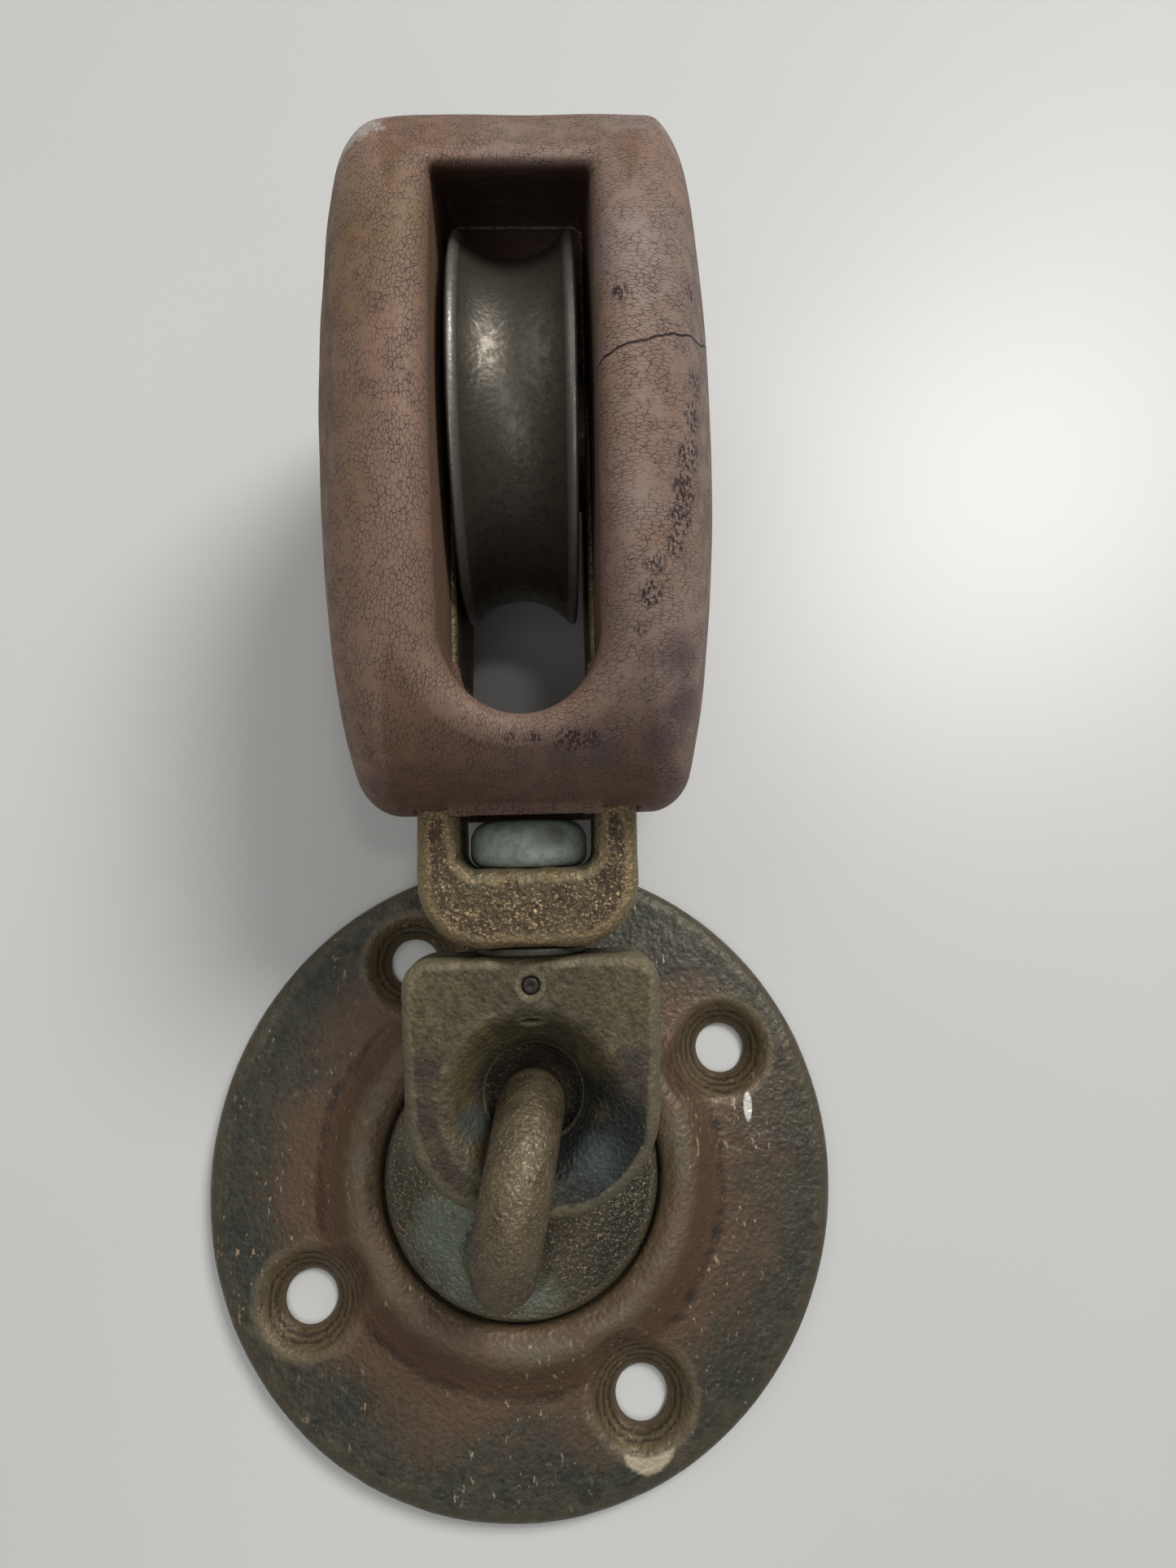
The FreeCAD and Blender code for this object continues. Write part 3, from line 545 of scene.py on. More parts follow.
class Effects:
    """Shared effects as node groups, each built once."""

    def __init__(self) -> None:
        """Build the groups."""
        self.grain = self._grain()
        self.wear = self._wear()
        self.spot = self._spot()
        self.stain = self._stain()
        self.craze = self._craze()

    @staticmethod
    def _start(name: str, inputs: dict[str, tuple[str, object]],
               outputs: dict[str, str]) -> tuple[bpy.types.NodeTree, Nodes, object, object]:
        """Empty group with named sockets.

        Args:
            name: the group's name.
            inputs: socket type and default by name.
            outputs: socket type by name.

        Returns:
            The group, its node helper, its input node's sockets and its output node's.
        """
        tree = bpy.data.node_groups.new(name, "ShaderNodeTree")
        for key, (kind, value) in inputs.items():
            socket = tree.interface.new_socket(key, in_out="INPUT", socket_type="NodeSocket" + kind)
            if value is not None:
                socket.default_value = value
        for key, kind in outputs.items():
            tree.interface.new_socket(key, in_out="OUTPUT", socket_type="NodeSocket" + kind)
        nodes = Nodes(tree)
        return tree, nodes, nodes.add("NodeGroupInput").outputs, nodes.add("NodeGroupOutput").inputs

    def _grain(self) -> bpy.types.NodeTree:
        """Sand-cast skin: a fine bumpy height and a mask of bright specks.

        Returns:
            The group.
        """
        tree, nodes, given, out = self._start(
            "sand_cast_grain",
            {"Place": ("Vector", None), "Scale": ("Float", 2.2), "Specks": ("Float", 0.5)},
            {"Height": "Float", "Speck": "Float"})
        fine = nodes.add("ShaderNodeTexNoise", {"Vector": given["Place"], "Scale": given["Scale"],
                                                "Detail": 3.0, "Roughness": 0.6}).outputs[0]
        pits = nodes.add("ShaderNodeTexVoronoi", {"Vector": given["Place"], "Scale": given["Scale"]},
                         feature="SMOOTH_F1").outputs["Distance"]
        nodes.feed(out["Height"], nodes.math("ADD", fine, nodes.math("MULTIPLY", pits, 0.7)))
        twice = nodes.math("MULTIPLY", given["Scale"], 1.7)
        bright = nodes.add("ShaderNodeTexNoise", {"Vector": given["Place"], "Scale": twice,
                                                  "Detail": 2.0, "Roughness": 0.7}).outputs[0]
        level = nodes.math("SUBTRACT", 0.74, nodes.math("MULTIPLY", given["Specks"], 0.2))
        over = nodes.math("MULTIPLY", nodes.math("SUBTRACT", bright, level), 14.0, clamp=True)
        nodes.feed(out["Speck"], over)
        return tree

    def _wear(self) -> bpy.types.NodeTree:
        """Masks of worn edges and of grime in hollows, ragged by noise.

        Returns:
            The group.
        """
        tree, nodes, given, out = self._start(
            "edge_wear",
            {"Place": ("Vector", None), "Width": ("Float", 0.02), "Ragged": ("Float", 0.5)},
            {"Worn": "Float", "Grime": "Float"})
        bulge = nodes.add("ShaderNodeAttribute", attribute_name="bulge").outputs["Fac"]
        rough = nodes.noise(given["Place"], 0.9, 4.0, 0.65)
        shift = nodes.math("MULTIPLY", nodes.math("SUBTRACT", rough, 0.5), given["Ragged"])
        near = nodes.math("DIVIDE", bulge, given["Width"])
        nodes.feed(out["Worn"], nodes.ramp(nodes.math("ADD", near, shift), 0.35, 1.1))
        hollow = nodes.math("SUBTRACT", shift, near)
        nodes.feed(out["Grime"], nodes.ramp(hollow, 0.3, 1.1))
        return tree

    def _spot(self) -> bpy.types.NodeTree:
        """Ragged round mask about a point.

        Returns:
            The group.
        """
        tree, nodes, given, out = self._start(
            "ragged_spot",
            {"Place": ("Vector", None), "Centre": ("Vector", None), "Radius": ("Float", 3.0),
             "Blur": ("Float", 1.0), "Ragged": ("Float", 1.5), "Scale": ("Float", 0.5)},
            {"Mask": "Float"})
        away = nodes.vector("DISTANCE", given["Place"], given["Centre"]).outputs["Value"]
        rough = nodes.add("ShaderNodeTexNoise", {"Vector": given["Place"], "Scale": given["Scale"],
                                                 "Detail": 4.0, "Roughness": 0.65}).outputs[0]
        shift = nodes.math("MULTIPLY", nodes.math("SUBTRACT", rough, 0.5), given["Ragged"])
        edge = nodes.math("SUBTRACT", given["Radius"], nodes.math("ADD", away, shift))
        nodes.feed(out["Mask"], nodes.math("DIVIDE", edge, given["Blur"], clamp=True))
        return tree

    def _stain(self) -> bpy.types.NodeTree:
        """Cloudy mask of patches that cover a given share of the surface.

        Returns:
            The group.
        """
        tree, nodes, given, out = self._start(
            "cloudy_stain",
            {"Place": ("Vector", None), "Scale": ("Float", 0.12), "Cover": ("Float", 0.5),
             "Blur": ("Float", 0.12)},
            {"Mask": "Float"})
        cloud = nodes.add("ShaderNodeTexNoise", {"Vector": given["Place"], "Scale": given["Scale"],
                                                 "Detail": 6.0, "Roughness": 0.62,
                                                 "Distortion": 0.3}).outputs[0]
        level = nodes.math("SUBTRACT", 0.78, nodes.math("MULTIPLY", given["Cover"], 0.56))
        over = nodes.math("DIVIDE", nodes.math("SUBTRACT", cloud, level), given["Blur"])
        nodes.feed(out["Mask"], nodes.math("ADD", over, 0.5, clamp=True))
        return tree

    def _craze(self) -> bpy.types.NodeTree:
        """Fine network of cracks between cells drawn out one way.

        Returns:
            The group.
        """
        tree, nodes, given, out = self._start(
            "crazing",
            {"Place": ("Vector", None), "Scale": ("Float", 0.8), "Width": ("Float", 0.06),
             "Stretch": ("Vector", (1.0, 1.0, 1.0)), "Turn": ("Vector", None)},
            {"Crack": "Float"})
        turned_place = nodes.add("ShaderNodeMapping", {"Vector": given["Place"], "Rotation": given["Turn"],
                                                       "Scale": given["Stretch"]}).outputs[0]
        bend = nodes.add("ShaderNodeTexNoise", {"Vector": given["Place"], "Scale": 0.7,
                                                "Detail": 3.0}).outputs["Color"]
        bent = nodes.vector("MULTIPLY_ADD", bend, (0.45, 0.45, 0.45), turned_place).outputs[0]
        cell = nodes.add("ShaderNodeTexVoronoi", {"Vector": bent, "Scale": given["Scale"]},
                         feature="DISTANCE_TO_EDGE").outputs["Distance"]
        close = nodes.math("SUBTRACT", 1.0, nodes.math("DIVIDE", cell, given["Width"]), clamp=True)
        broken = nodes.ramp(nodes.noise(given["Place"], 0.35, 4.0, 0.65), 0.34, 0.56)
        nodes.feed(out["Crack"], nodes.math("MULTIPLY", close, broken))
        return tree


# ---------------------------------------------------------------- finishes
@dataclass(frozen=True)
class BronzeFinish:
    """Weathered bronze.

    Attributes:
        name: the material's name.
        base: main colour.
        tint: second colour, in cloudy patches.
        dark: colour of grime and stains.
        bright: colour of specks and worn edges.
        bloom: colour of verdigris.
        cover: share of the surface in the second colour.
        bloom_cover: share in verdigris.
        specks: how many bright specks, 0 to 1.
        grain: pitch of the cast skin, in grains per millimetre.
        depth: depth of that skin in metres.
        metal: how metallic the base is.
        rough: base roughness.
        worn: strength of the worn edges.
        coordinates: where the pattern is read.
    """

    name: str
    base: Colour
    tint: Colour
    dark: Colour
    bright: Colour
    bloom: Colour = (0.20, 0.26, 0.22)
    cover: float = 0.5
    bloom_cover: float = 0.0
    specks: float = 0.5
    grain: float = 1.6
    depth: float = 0.00012
    metal: float = 0.35
    rough: float = 0.55
    worn: float = 0.5
    coordinates: Coordinates = Coordinates.OWN


# Marks on the shell: centre in the block's frame, and radius.
SCUFFS = (((22.3, 92.0, 32), 2.2), ((21.8, 87.5, 33), 2.4), ((21.3, 82.5, 33.5), 2.6),
          ((20.6, 78.0, 34), 2.5), ((20.0, 74.2, 34), 2.4), ((19.2, 71.0, 34), 1.8),
          ((16.5, 69.0, 34), 1.8), ((16.1, 65.5, 33.5), 2.0), ((14.9, 61.5, 32), 1.2),
          ((22.2, 104.0, 32), 1.6), ((12.9, 101.5, 36.5), 1.5), ((6.0, 49.0, 24.5), 2.6),
          ((8.8, 49.0, 24.5), 2.0), ((1.5, 49.6, 25), 1.3), ((-1.5, 49.8, 25), 1.0))
BLOTS = (((20.0, 58.5, 30), 3.4), ((20.8, 53.0, 26), 3.6), ((17.5, 48.6, 24.5), 3.0),
         ((10.5, 47.4, 23.2), 3.0), ((5.0, 47.0, 22.8), 2.4))


class Dresser:
    """Makes the materials."""

    def __init__(self, effects: Effects) -> None:
        """Keep the shared effects."""
        self.effects = effects

    @staticmethod
    def _material(name: str) -> tuple[bpy.types.Material, Nodes, bpy.types.Node]:
        """New material with an empty Principled shader.

        Args:
            name: the material's name.

        Returns:
            The material, its node helper and its shader.
        """
        material = bpy.data.materials.new(name)
        material.use_nodes = True
        nodes = Nodes(material.node_tree)
        shader = material.node_tree.nodes["Principled BSDF"]
        return material, nodes, shader

    @staticmethod
    def _place(nodes: Nodes, coordinates: Coordinates) -> bpy.types.NodeSocket:
        """Place in millimetres.

        Args:
            nodes: the material's node helper.
            coordinates: where the place is read.

        Returns:
            Socket with the place.
        """
        if coordinates is Coordinates.OWN:
            return nodes.add("ShaderNodeAttribute", attribute_name="place").outputs["Vector"]
        row = nodes.add("ShaderNodeTexCoord").outputs["Object"]
        scaled = nodes.add("ShaderNodeVectorMath", {0: row}, operation="SCALE")
        scaled.inputs["Scale"].default_value = 1 / MM
        return scaled.outputs[0]

    def spot_mask(self, nodes: Nodes, place: object, centre: Sequence[float], radius: float,
                   blur: float = 1.0, ragged: float = 1.5, scale: float = 0.5) -> bpy.types.NodeSocket:
        """Ragged round mask about a point."""
        return nodes.group(self.effects.spot, place=place, centre=tuple(centre), radius=radius,
                           blur=blur, ragged=ragged, scale=scale).outputs[0]

    def bronze(self, finish: BronzeFinish,
               extra: Callable[[Nodes, object, object], object] | None = None) -> bpy.types.Material:
        """Weathered bronze material.

        Args:
            finish: its colours and strengths.
            extra: adds the piece's own marks to the colour, given the nodes, place and colour.

        Returns:
            The material.
        """
        material, nodes, shader = self._material(finish.name)
        place = self._place(nodes, finish.coordinates)
        grain = nodes.group(self.effects.grain, place=place, scale=finish.grain, specks=finish.specks)
        patches = nodes.group(self.effects.stain, place=place, scale=0.11, cover=finish.cover,
                              blur=0.16).outputs[0]
        mottle = nodes.noise(place, 0.8, 5.0, 0.65)
        colour = nodes.blend(patches, finish.base, finish.tint)
        colour = nodes.blend(nodes.ramp(mottle, 0.42, 0.66, 0.0, 0.55), colour, finish.dark)
        if extra is not None:
            colour = extra(nodes, place, colour)
        if finish.bloom_cover > 0:
            bloom = nodes.group(self.effects.stain, place=place, scale=0.16, cover=finish.bloom_cover,
                                blur=0.14).outputs[0]
            colour = nodes.blend(nodes.math("MULTIPLY", bloom, 0.85), colour, finish.bloom)
        wear = None
        if finish.coordinates is Coordinates.OWN:
            wear = nodes.group(self.effects.wear, place=place)
            grime = nodes.math("MULTIPLY", wear.outputs["Grime"], 0.7)
            colour = nodes.blend(grime, colour, finish.dark)
            colour = nodes.blend(nodes.math("MULTIPLY", wear.outputs["Worn"], finish.worn), colour,
                                 finish.bright)
        speck = grain.outputs["Speck"]
        colour = nodes.blend(nodes.math("MULTIPLY", speck, 0.75), colour, finish.bright)
        nodes.feed(shader.inputs["Base Color"], colour)
        nodes.feed(shader.inputs["Metallic"], nodes.ramp(speck, 0.0, 1.0, finish.metal, 0.75))
        nodes.feed(shader.inputs["Roughness"],
                   nodes.ramp(mottle, 0.3, 0.7, finish.rough - 0.08, finish.rough + 0.12))
        swell = nodes.noise(place, 0.35, 3.0, 0.5)
        height = nodes.math("ADD", grain.outputs["Height"], nodes.math("MULTIPLY", swell, 1.5))
        nodes.feed(shader.inputs["Normal"], nodes.bump(height, finish.depth))
        return material

    def rubber(self, name: str) -> bpy.types.Material:
        """Aged mauve-brown rubber with fine crazing, scuffs and one long crack.

        Args:
            name: the material's name.

        Returns:
            The material.
        """
        material, nodes, shader = self._material(name)
        place = self._place(nodes, Coordinates.OWN)
        parts = nodes.add("ShaderNodeSeparateXYZ", {0: place}).outputs
        mauve, clay, olive = (0.246, 0.182, 0.156), (0.196, 0.101, 0.050), (0.140, 0.090, 0.020)
        warm = nodes.group(self.effects.stain, place=place, scale=0.05, cover=0.5, blur=0.25).outputs[0]
        # Painted shade: the left side is blended towards the darker clay colour, which also comes in real
        # cloudy patches.
        painted_shade_left = nodes.ramp(parts[0], 8.0, -12.0, 0.0, 0.75)
        colour = nodes.blend(nodes.math("MAXIMUM", nodes.math("MULTIPLY", warm, 0.8), painted_shade_left), mauve, clay)
        corner = self.spot_mask(nodes, place, (-18, 112, 33), 16, 12, 8, 0.12)
        colour = nodes.blend(nodes.math("MULTIPLY", corner, 0.7), colour, olive)
        foot = nodes.math("MULTIPLY", nodes.ramp(parts[1], 58.0, 47.0), 0.6)
        colour = nodes.blend(foot, colour, (0.120, 0.062, 0.036))
        stretched = nodes.vector("MULTIPLY", place, (0.9, 0.06, 0.9)).outputs[0]
        streak = nodes.ramp(nodes.noise(stretched, 0.6, 4.0, 0.6), 0.52, 0.7)
        left = nodes.ramp(parts[0], -6.0, -14.0)
        colour = nodes.blend(nodes.math("MULTIPLY", nodes.math("MULTIPLY", streak, left), 0.45), colour,
                             (0.24, 0.110, 0.078))
        cloud = nodes.noise(place, 0.35, 5.0, 0.6)
        colour = nodes.blend(nodes.ramp(cloud, 0.4, 0.7, 0.0, 0.35), colour, (0.135, 0.085, 0.072))
        wear = nodes.group(self.effects.wear, place=place, width=0.012, ragged=0.8)
        colour = nodes.blend(nodes.math("MULTIPLY", wear.outputs["Worn"], 0.25), colour,
                             (0.36, 0.25, 0.21))
        # Painted shade: the right outer side of the shell is darkened.
        shaded_right_side = nodes.ramp(parts[0], 19.0, 24.5)
        colour = nodes.blend(nodes.math("MULTIPLY", shaded_right_side, 0.25), colour, (0.17, 0.115, 0.098))

        right = nodes.ramp(parts[0], -2.0, 4.0)
        craze_left = self._crazing(nodes, place, (1.35, 0.75, 0.8), -42)
        craze_right = self._crazing(nodes, place, (0.60, 1.5, 0.8), 8)
        crack = nodes.math("ADD", nodes.math("MULTIPLY", craze_right, right),
                           nodes.math("MULTIPLY", craze_left, nodes.math("SUBTRACT", 1.0, right)))
        front = nodes.ramp(parts[2], 2.0, 16.0, 0.25, 1.0)
        crack = nodes.math("MULTIPLY", crack, front)
        colour = nodes.blend(nodes.math("MULTIPLY", crack, 0.55), colour, (0.050, 0.026, 0.020))

        scuffs = self._scuffs(nodes, place)
        colour = nodes.blend(nodes.math("MULTIPLY", scuffs, 0.95), colour, (0.034, 0.021, 0.021))
        for centre, radius in BLOTS:
            blot = self.spot_mask(nodes, place, centre, radius + 0.6, 2.6, 4.0, 0.5)
            colour = nodes.blend(nodes.math("MULTIPLY", blot, 0.75), colour, (0.085, 0.058, 0.060))
        rub = self.spot_mask(nodes, place, (-20.5, 129.5, 25), 4.6, 1.2, 6, 0.7)
        colour = nodes.blend(nodes.math("MULTIPLY", rub, 0.6), colour, (0.52, 0.47, 0.42))

        long_crack = self._long_crack(nodes, parts)
        colour = nodes.blend(long_crack, colour, (0.022, 0.012, 0.010))
        nodes.feed(shader.inputs["Base Color"], colour)
        rough = nodes.ramp(cloud, 0.3, 0.7, 0.56, 0.72)
        nodes.feed(shader.inputs["Roughness"], rough)
        shader.inputs["Specular IOR Level"].default_value = 0.38
        skin = nodes.noise(place, 2.6, 4.0, 0.6)
        height = nodes.math("SUBTRACT", nodes.math("MULTIPLY", skin, 0.35), crack)
        height = nodes.math("SUBTRACT", height, nodes.math("MULTIPLY", long_crack, 3.0))
        nodes.feed(shader.inputs["Normal"], nodes.bump(height, 0.00012))
        return material

    def pale_rubber(self, name: str) -> bpy.types.Material:
        """Thin, light-worn rubber of the moulding line.

        Args:
            name: the material's name.

        Returns:
            The material.
        """
        material, nodes, shader = self._material(name)
        place = self._place(nodes, Coordinates.OWN)
        cloud = nodes.ramp(nodes.noise(place, 1.1, 4.0, 0.6), 0.38, 0.66)
        nodes.feed(shader.inputs["Base Color"], nodes.blend(cloud, (0.34, 0.24, 0.20), (0.17, 0.105, 0.085)))
        nodes.feed(shader.inputs["Roughness"], nodes.ramp(cloud, 0.0, 1.0, 0.5, 0.7))
        nodes.feed(shader.inputs["Normal"], nodes.bump(nodes.noise(place, 3.0, 3.0, 0.6), 0.00008))
        return material

    def _crazing(self, nodes: Nodes, place: object, stretch: tuple[float, float, float],
                 turn: float) -> bpy.types.NodeSocket:
        """Fine cracks on the shell, drawn out one way and turned by some degrees."""
        return nodes.group(self.effects.craze, place=place, scale=1.45, width=0.052, stretch=stretch,
                           turn=(0, 0, math.radians(turn))).outputs[0]

    def _scuffs(self, nodes: Nodes, place: object) -> bpy.types.NodeSocket:
        """Dark stippled rubs on the right cheek and below the throat.

        Args:
            nodes: the material's node helper.
            place: socket with the place.

        Returns:
            The mask.
        """
        mask = None
        for centre, radius in SCUFFS:
            spot = self.spot_mask(nodes, place, centre, radius, 0.9, 2.2, 0.6)
            mask = spot if mask is None else nodes.math("MAXIMUM", mask, spot)
        squeezed = nodes.vector("MULTIPLY", place, (1.5, 0.8, 1.0)).outputs[0]
        dots = nodes.ramp(nodes.noise(squeezed, 1.8, 2.0, 0.5), 0.46, 0.54)
        return nodes.math("MULTIPLY", mask, dots)

    @staticmethod
    def _long_crack(nodes: Nodes, parts: object) -> bpy.types.NodeSocket:
        """Split that crosses the right cheek from the throat to its outer side.

        Args:
            nodes: the material's node helper.
            parts: sockets with the place's three parts.

        Returns:
            The mask.
        """
        wander = nodes.add("ShaderNodeTexNoise", {"W": parts[0], "Scale": 0.35, "Detail": 3.0},
                           noise_dimensions="1D").outputs[0]
        line = nodes.math("MULTIPLY_ADD", wander, 1.2, 88.9)
        line = nodes.math("ADD", line, nodes.math("MULTIPLY", parts[0], 0.37))
        line = nodes.math("ADD", line, nodes.ramp(parts[2], 33.0, 15.0, 0.0, 4.5))
        away = nodes.math("ABSOLUTE", nodes.math("SUBTRACT", parts[1], line))
        thin = nodes.ramp(away, 0.20, 0.07)
        side = nodes.ramp(parts[0], 9.5, 11.0)
        high = nodes.ramp(parts[2], 14.0, 22.0)
        return nodes.math("MULTIPLY", thin, nodes.math("MULTIPLY", side, high))


BRONZES = {
    "strap": BronzeFinish("strap_bronze", (0.116, 0.084, 0.042), (0.078, 0.050, 0.027),
                          (0.034, 0.023, 0.015), (0.50, 0.38, 0.20), cover=0.5, specks=0.9, grain=1.5,
                          depth=0.00030, metal=0.4, rough=0.48, worn=0.3),
    "link": BronzeFinish("link_bronze", (0.118, 0.094, 0.046), (0.074, 0.062, 0.034),
                         (0.024, 0.018, 0.012), (0.30, 0.26, 0.16), cover=0.45, specks=0.4, grain=1.6,
                         depth=0.00020, metal=0.3, rough=0.52, worn=0.3),
    # Painted light: the stud's colours are far paler than the other bronzes, standing in for light reaching
    # its head inside the window.
    "stud": BronzeFinish("stud_bronze", (0.330, 0.390, 0.340), (0.250, 0.300, 0.260),
                         (0.090, 0.100, 0.090), (0.46, 0.49, 0.42), cover=0.5, specks=0.1, grain=1.6,
                         depth=0.00006, metal=0.1, rough=0.58, worn=0.15),
    "washer": BronzeFinish("washer_bronze", (0.050, 0.044, 0.030), (0.036, 0.036, 0.028),
                           (0.018, 0.015, 0.012), (0.20, 0.17, 0.11), specks=0.2, depth=0.00005,
                           metal=0.4, rough=0.5, worn=0.1),
    "eye": BronzeFinish("eye_bronze", (0.078, 0.054, 0.026), (0.040, 0.028, 0.015),
                        (0.022, 0.017, 0.012), (0.42, 0.35, 0.22), cover=0.45, specks=0.85, grain=1.5,
                        depth=0.00024, metal=0.35, rough=0.46, worn=0.15),
    "plate": BronzeFinish("plate_bronze", (0.060, 0.052, 0.033), (0.038, 0.042, 0.030),
                          (0.018, 0.015, 0.011), (0.24, 0.19, 0.12), cover=0.5, specks=0.35, grain=1.3,
                          depth=0.00018, metal=0.3, rough=0.46, worn=0.2),
    "sheave": BronzeFinish("sheave_bronze", (0.100, 0.088, 0.068), (0.078, 0.070, 0.055),
                           (0.034, 0.027, 0.020), (0.34, 0.33, 0.30), cover=0.4, specks=0.12, grain=1.5,
                           depth=0.00005, metal=0.6, rough=0.40, worn=0.35),
    "sheet": BronzeFinish("sheet_bronze", (0.13, 0.10, 0.065), (0.09, 0.075, 0.05), (0.035, 0.027, 0.02),
                          (0.38, 0.31, 0.20), specks=0.2, depth=0.00005, metal=0.6, rough=0.42,
                          coordinates=Coordinates.ROW),
    "pin": BronzeFinish("pin_bronze", (0.045, 0.033, 0.022), (0.034, 0.026, 0.018), (0.016, 0.011, 0.009),
                        (0.2, 0.15, 0.09), specks=0.2, depth=0.00006, metal=0.4, rough=0.5,
                        coordinates=Coordinates.ROW),
    "bush": BronzeFinish("bush_bronze", (0.22, 0.155, 0.075), (0.17, 0.12, 0.065), (0.06, 0.045, 0.03),
                         (0.5, 0.4, 0.23), specks=0.1, depth=0.00003, metal=0.8, rough=0.35,
                         coordinates=Coordinates.ROW),
}


# ---------------------------------------------------------------- base plate
@dataclass
class BasePlate:
    """Round deck plate with a raised ring about the eye and four countersunk holes."""

    shop: Workshop
    dresser: Dresser
    rim: float = 50.8
    shoulder: float = 47.5
    shoulder_height: float = 4.3
    foot: float = 31.4
    foot_height: float = 5.5
    crest: float = 26.0
    crest_height: float = 8.95
    lip: float = 22.4
    lip_under: float = 5.4
    cavity: float = 26.08
    disc_seat: float = 27.53
    disc_depth: float = 1.5
    screw_circle: float = 38.6
    screw_angle: float = 29.6
    screw_hole: float = 4.1
    thread_pitch: float = 0.95
    thread_depth: float = 0.14
    step: float = 0.72

    def top(self, r: np.ndarray) -> np.ndarray:
        """Height of the upper face at a distance from the centre.

        Args:
            r: distances from the centre.

        Returns:
            The heights.
        """
        slope = self.foot_height + (self.shoulder_height - self.foot_height) * np.clip(
            (r - self.foot) / (self.shoulder - self.foot), 0, 1)
        share = np.clip((r - self.crest) / (self.foot + 2.0 - self.crest), 0, 1)
        ring = (self.crest_height - self.foot_height) * (0.5 + 0.5 * np.cos(math.pi * share))
        inner = np.clip((self.crest - r) / (self.crest - self.lip), 0, 1)
        outer = np.clip((r - self.shoulder) / (self.rim - self.shoulder), 0, 1)
        return slope + ring - 1.2 * inner ** 2 - 1.3 * outer ** 2

    def screws(self) -> list[tuple[float, float]]:
        """Centres of the screw holes."""
        angles = [math.radians(self.screw_angle + 90 * n) for n in range(4)]
        return [(self.screw_circle * math.cos(a), self.screw_circle * math.sin(a)) for a in angles]

    def surface(self, p: np.ndarray) -> np.ndarray:
        """Field of the plate.

        Args:
            p: points in the piece's frame, one to a row.

        Returns:
            The field at each point, below 0 inside.
        """
        r = np.hypot(p[:, 0], p[:, 1])
        skin = p[:, 2] - self.top(r) - 0.10 * ripple(p, 13.0, 3) - 0.05 * ripple(p, 4.5, 4)
        body = edge_and(skin * 0.93, r - self.rim, 1.1)
        body = edge_and(body, -p[:, 2], 0.3)
        hollow = np.minimum(np.maximum(r - self.cavity, p[:, 2] - self.lip_under), r - self.lip)
        hollow = np.minimum(hollow, np.maximum(r - self.disc_seat, p[:, 2] - self.disc_depth))
        body = less(body, hollow, 0.5)
        for x, y in self.screws():
            away = np.hypot(p[:, 0] - x, p[:, 1] - y)
            thread = self.thread_depth * np.sin(2 * math.pi * p[:, 2] / self.thread_pitch)
            cone = (away - self.screw_hole - np.maximum(p[:, 2] - 1.0, 0) - thread) * 0.71
            body = less(body, np.minimum(away - self.screw_hole, cone), 0.45)
        return body

    def marks(self, nodes: Nodes, place: object, colour: object) -> object:
        """Red-brown inner zone, dark rim, paint flecks, old bedding round the screws, and painted light on
        the ring's west slope.

        Args:
            nodes: the material's node helper.
            place: socket with the place.
            colour: the colour under the marks.

        Returns:
            The colour with the marks.
        """
        flat = nodes.vector("MULTIPLY", place, (1, 1, 0)).outputs[0]
        away = nodes.vector("LENGTH", flat).outputs["Value"]
        rough = nodes.noise(place, 0.09, 5.0, 0.6)
        shift = nodes.math("MULTIPLY", nodes.math("SUBTRACT", rough, 0.5), 26.0)
        edge = nodes.math("ADD", away, shift)
        inner = nodes.ramp(edge, 46.0, 34.0)
        colour = nodes.blend(nodes.math("MULTIPLY", inner, 0.9), colour, (0.112, 0.066, 0.036))
        # Painted light: the west slope of the raised ring is made lighter and redder, as if lit from that
        # side.
        ring = nodes.ramp(nodes.math("ABSOLUTE", nodes.math("SUBTRACT", away, 31.5)), 3.5, 0.5)
        across = nodes.add("ShaderNodeSeparateXYZ", {0: place}).outputs[0]
        lit_west_ring = nodes.math("MULTIPLY", ring, nodes.ramp(across, 12.0, -16.0, 0.35, 0.8))
        colour = nodes.blend(lit_west_ring, colour, (0.125, 0.066, 0.038))
        crest = nodes.ramp(nodes.math("ABSOLUTE", nodes.math("SUBTRACT", away, 25.5)), 2.4, 0.4)
        olive = nodes.group(self.dresser.effects.stain, place=place, scale=0.14, cover=0.45).outputs[0]
        colour = nodes.blend(nodes.math("MULTIPLY", nodes.math("MULTIPLY", crest, olive), 0.8), colour,
                             (0.105, 0.092, 0.060))
        for x, y in self.screws():
            sink = self.dresser.spot_mask(nodes, place, (x, y, 3.0), 9.2, 2.2, 4.0, 0.5)
            colour = nodes.blend(nodes.math("MULTIPLY", sink, 0.75), colour, (0.150, 0.108, 0.052))
            well = self.dresser.spot_mask(nodes, place, (x, y, 0.0), 6.0, 2.0, 2.0, 0.6)
            colour = nodes.blend(nodes.math("MULTIPLY", well, 0.8), colour, (0.040, 0.023, 0.014))
        spread = nodes.vector("MULTIPLY", place, (0.55, 0.22, 0.5)).outputs[0]
        fleck = nodes.ramp(nodes.noise(spread, 2.1, 4.0, 0.62), 0.63, 0.67)
        zone = nodes.ramp(nodes.noise(place, 0.09, 2.0, 0.5), 0.44, 0.58)
        colour = nodes.blend(nodes.math("MULTIPLY", fleck, zone), colour, (0.34, 0.27, 0.17))
        x, y = self.screws()[3]
        cream = self.dresser.spot_mask(nodes, place, (x + 0.6, y - 6.2, 4.6), 4.3, 0.6, 1.4, 0.8)
        inside = self.dresser.spot_mask(nodes, place, (x, y, 4.6), 8.2, 0.5, 0.6, 0.8)
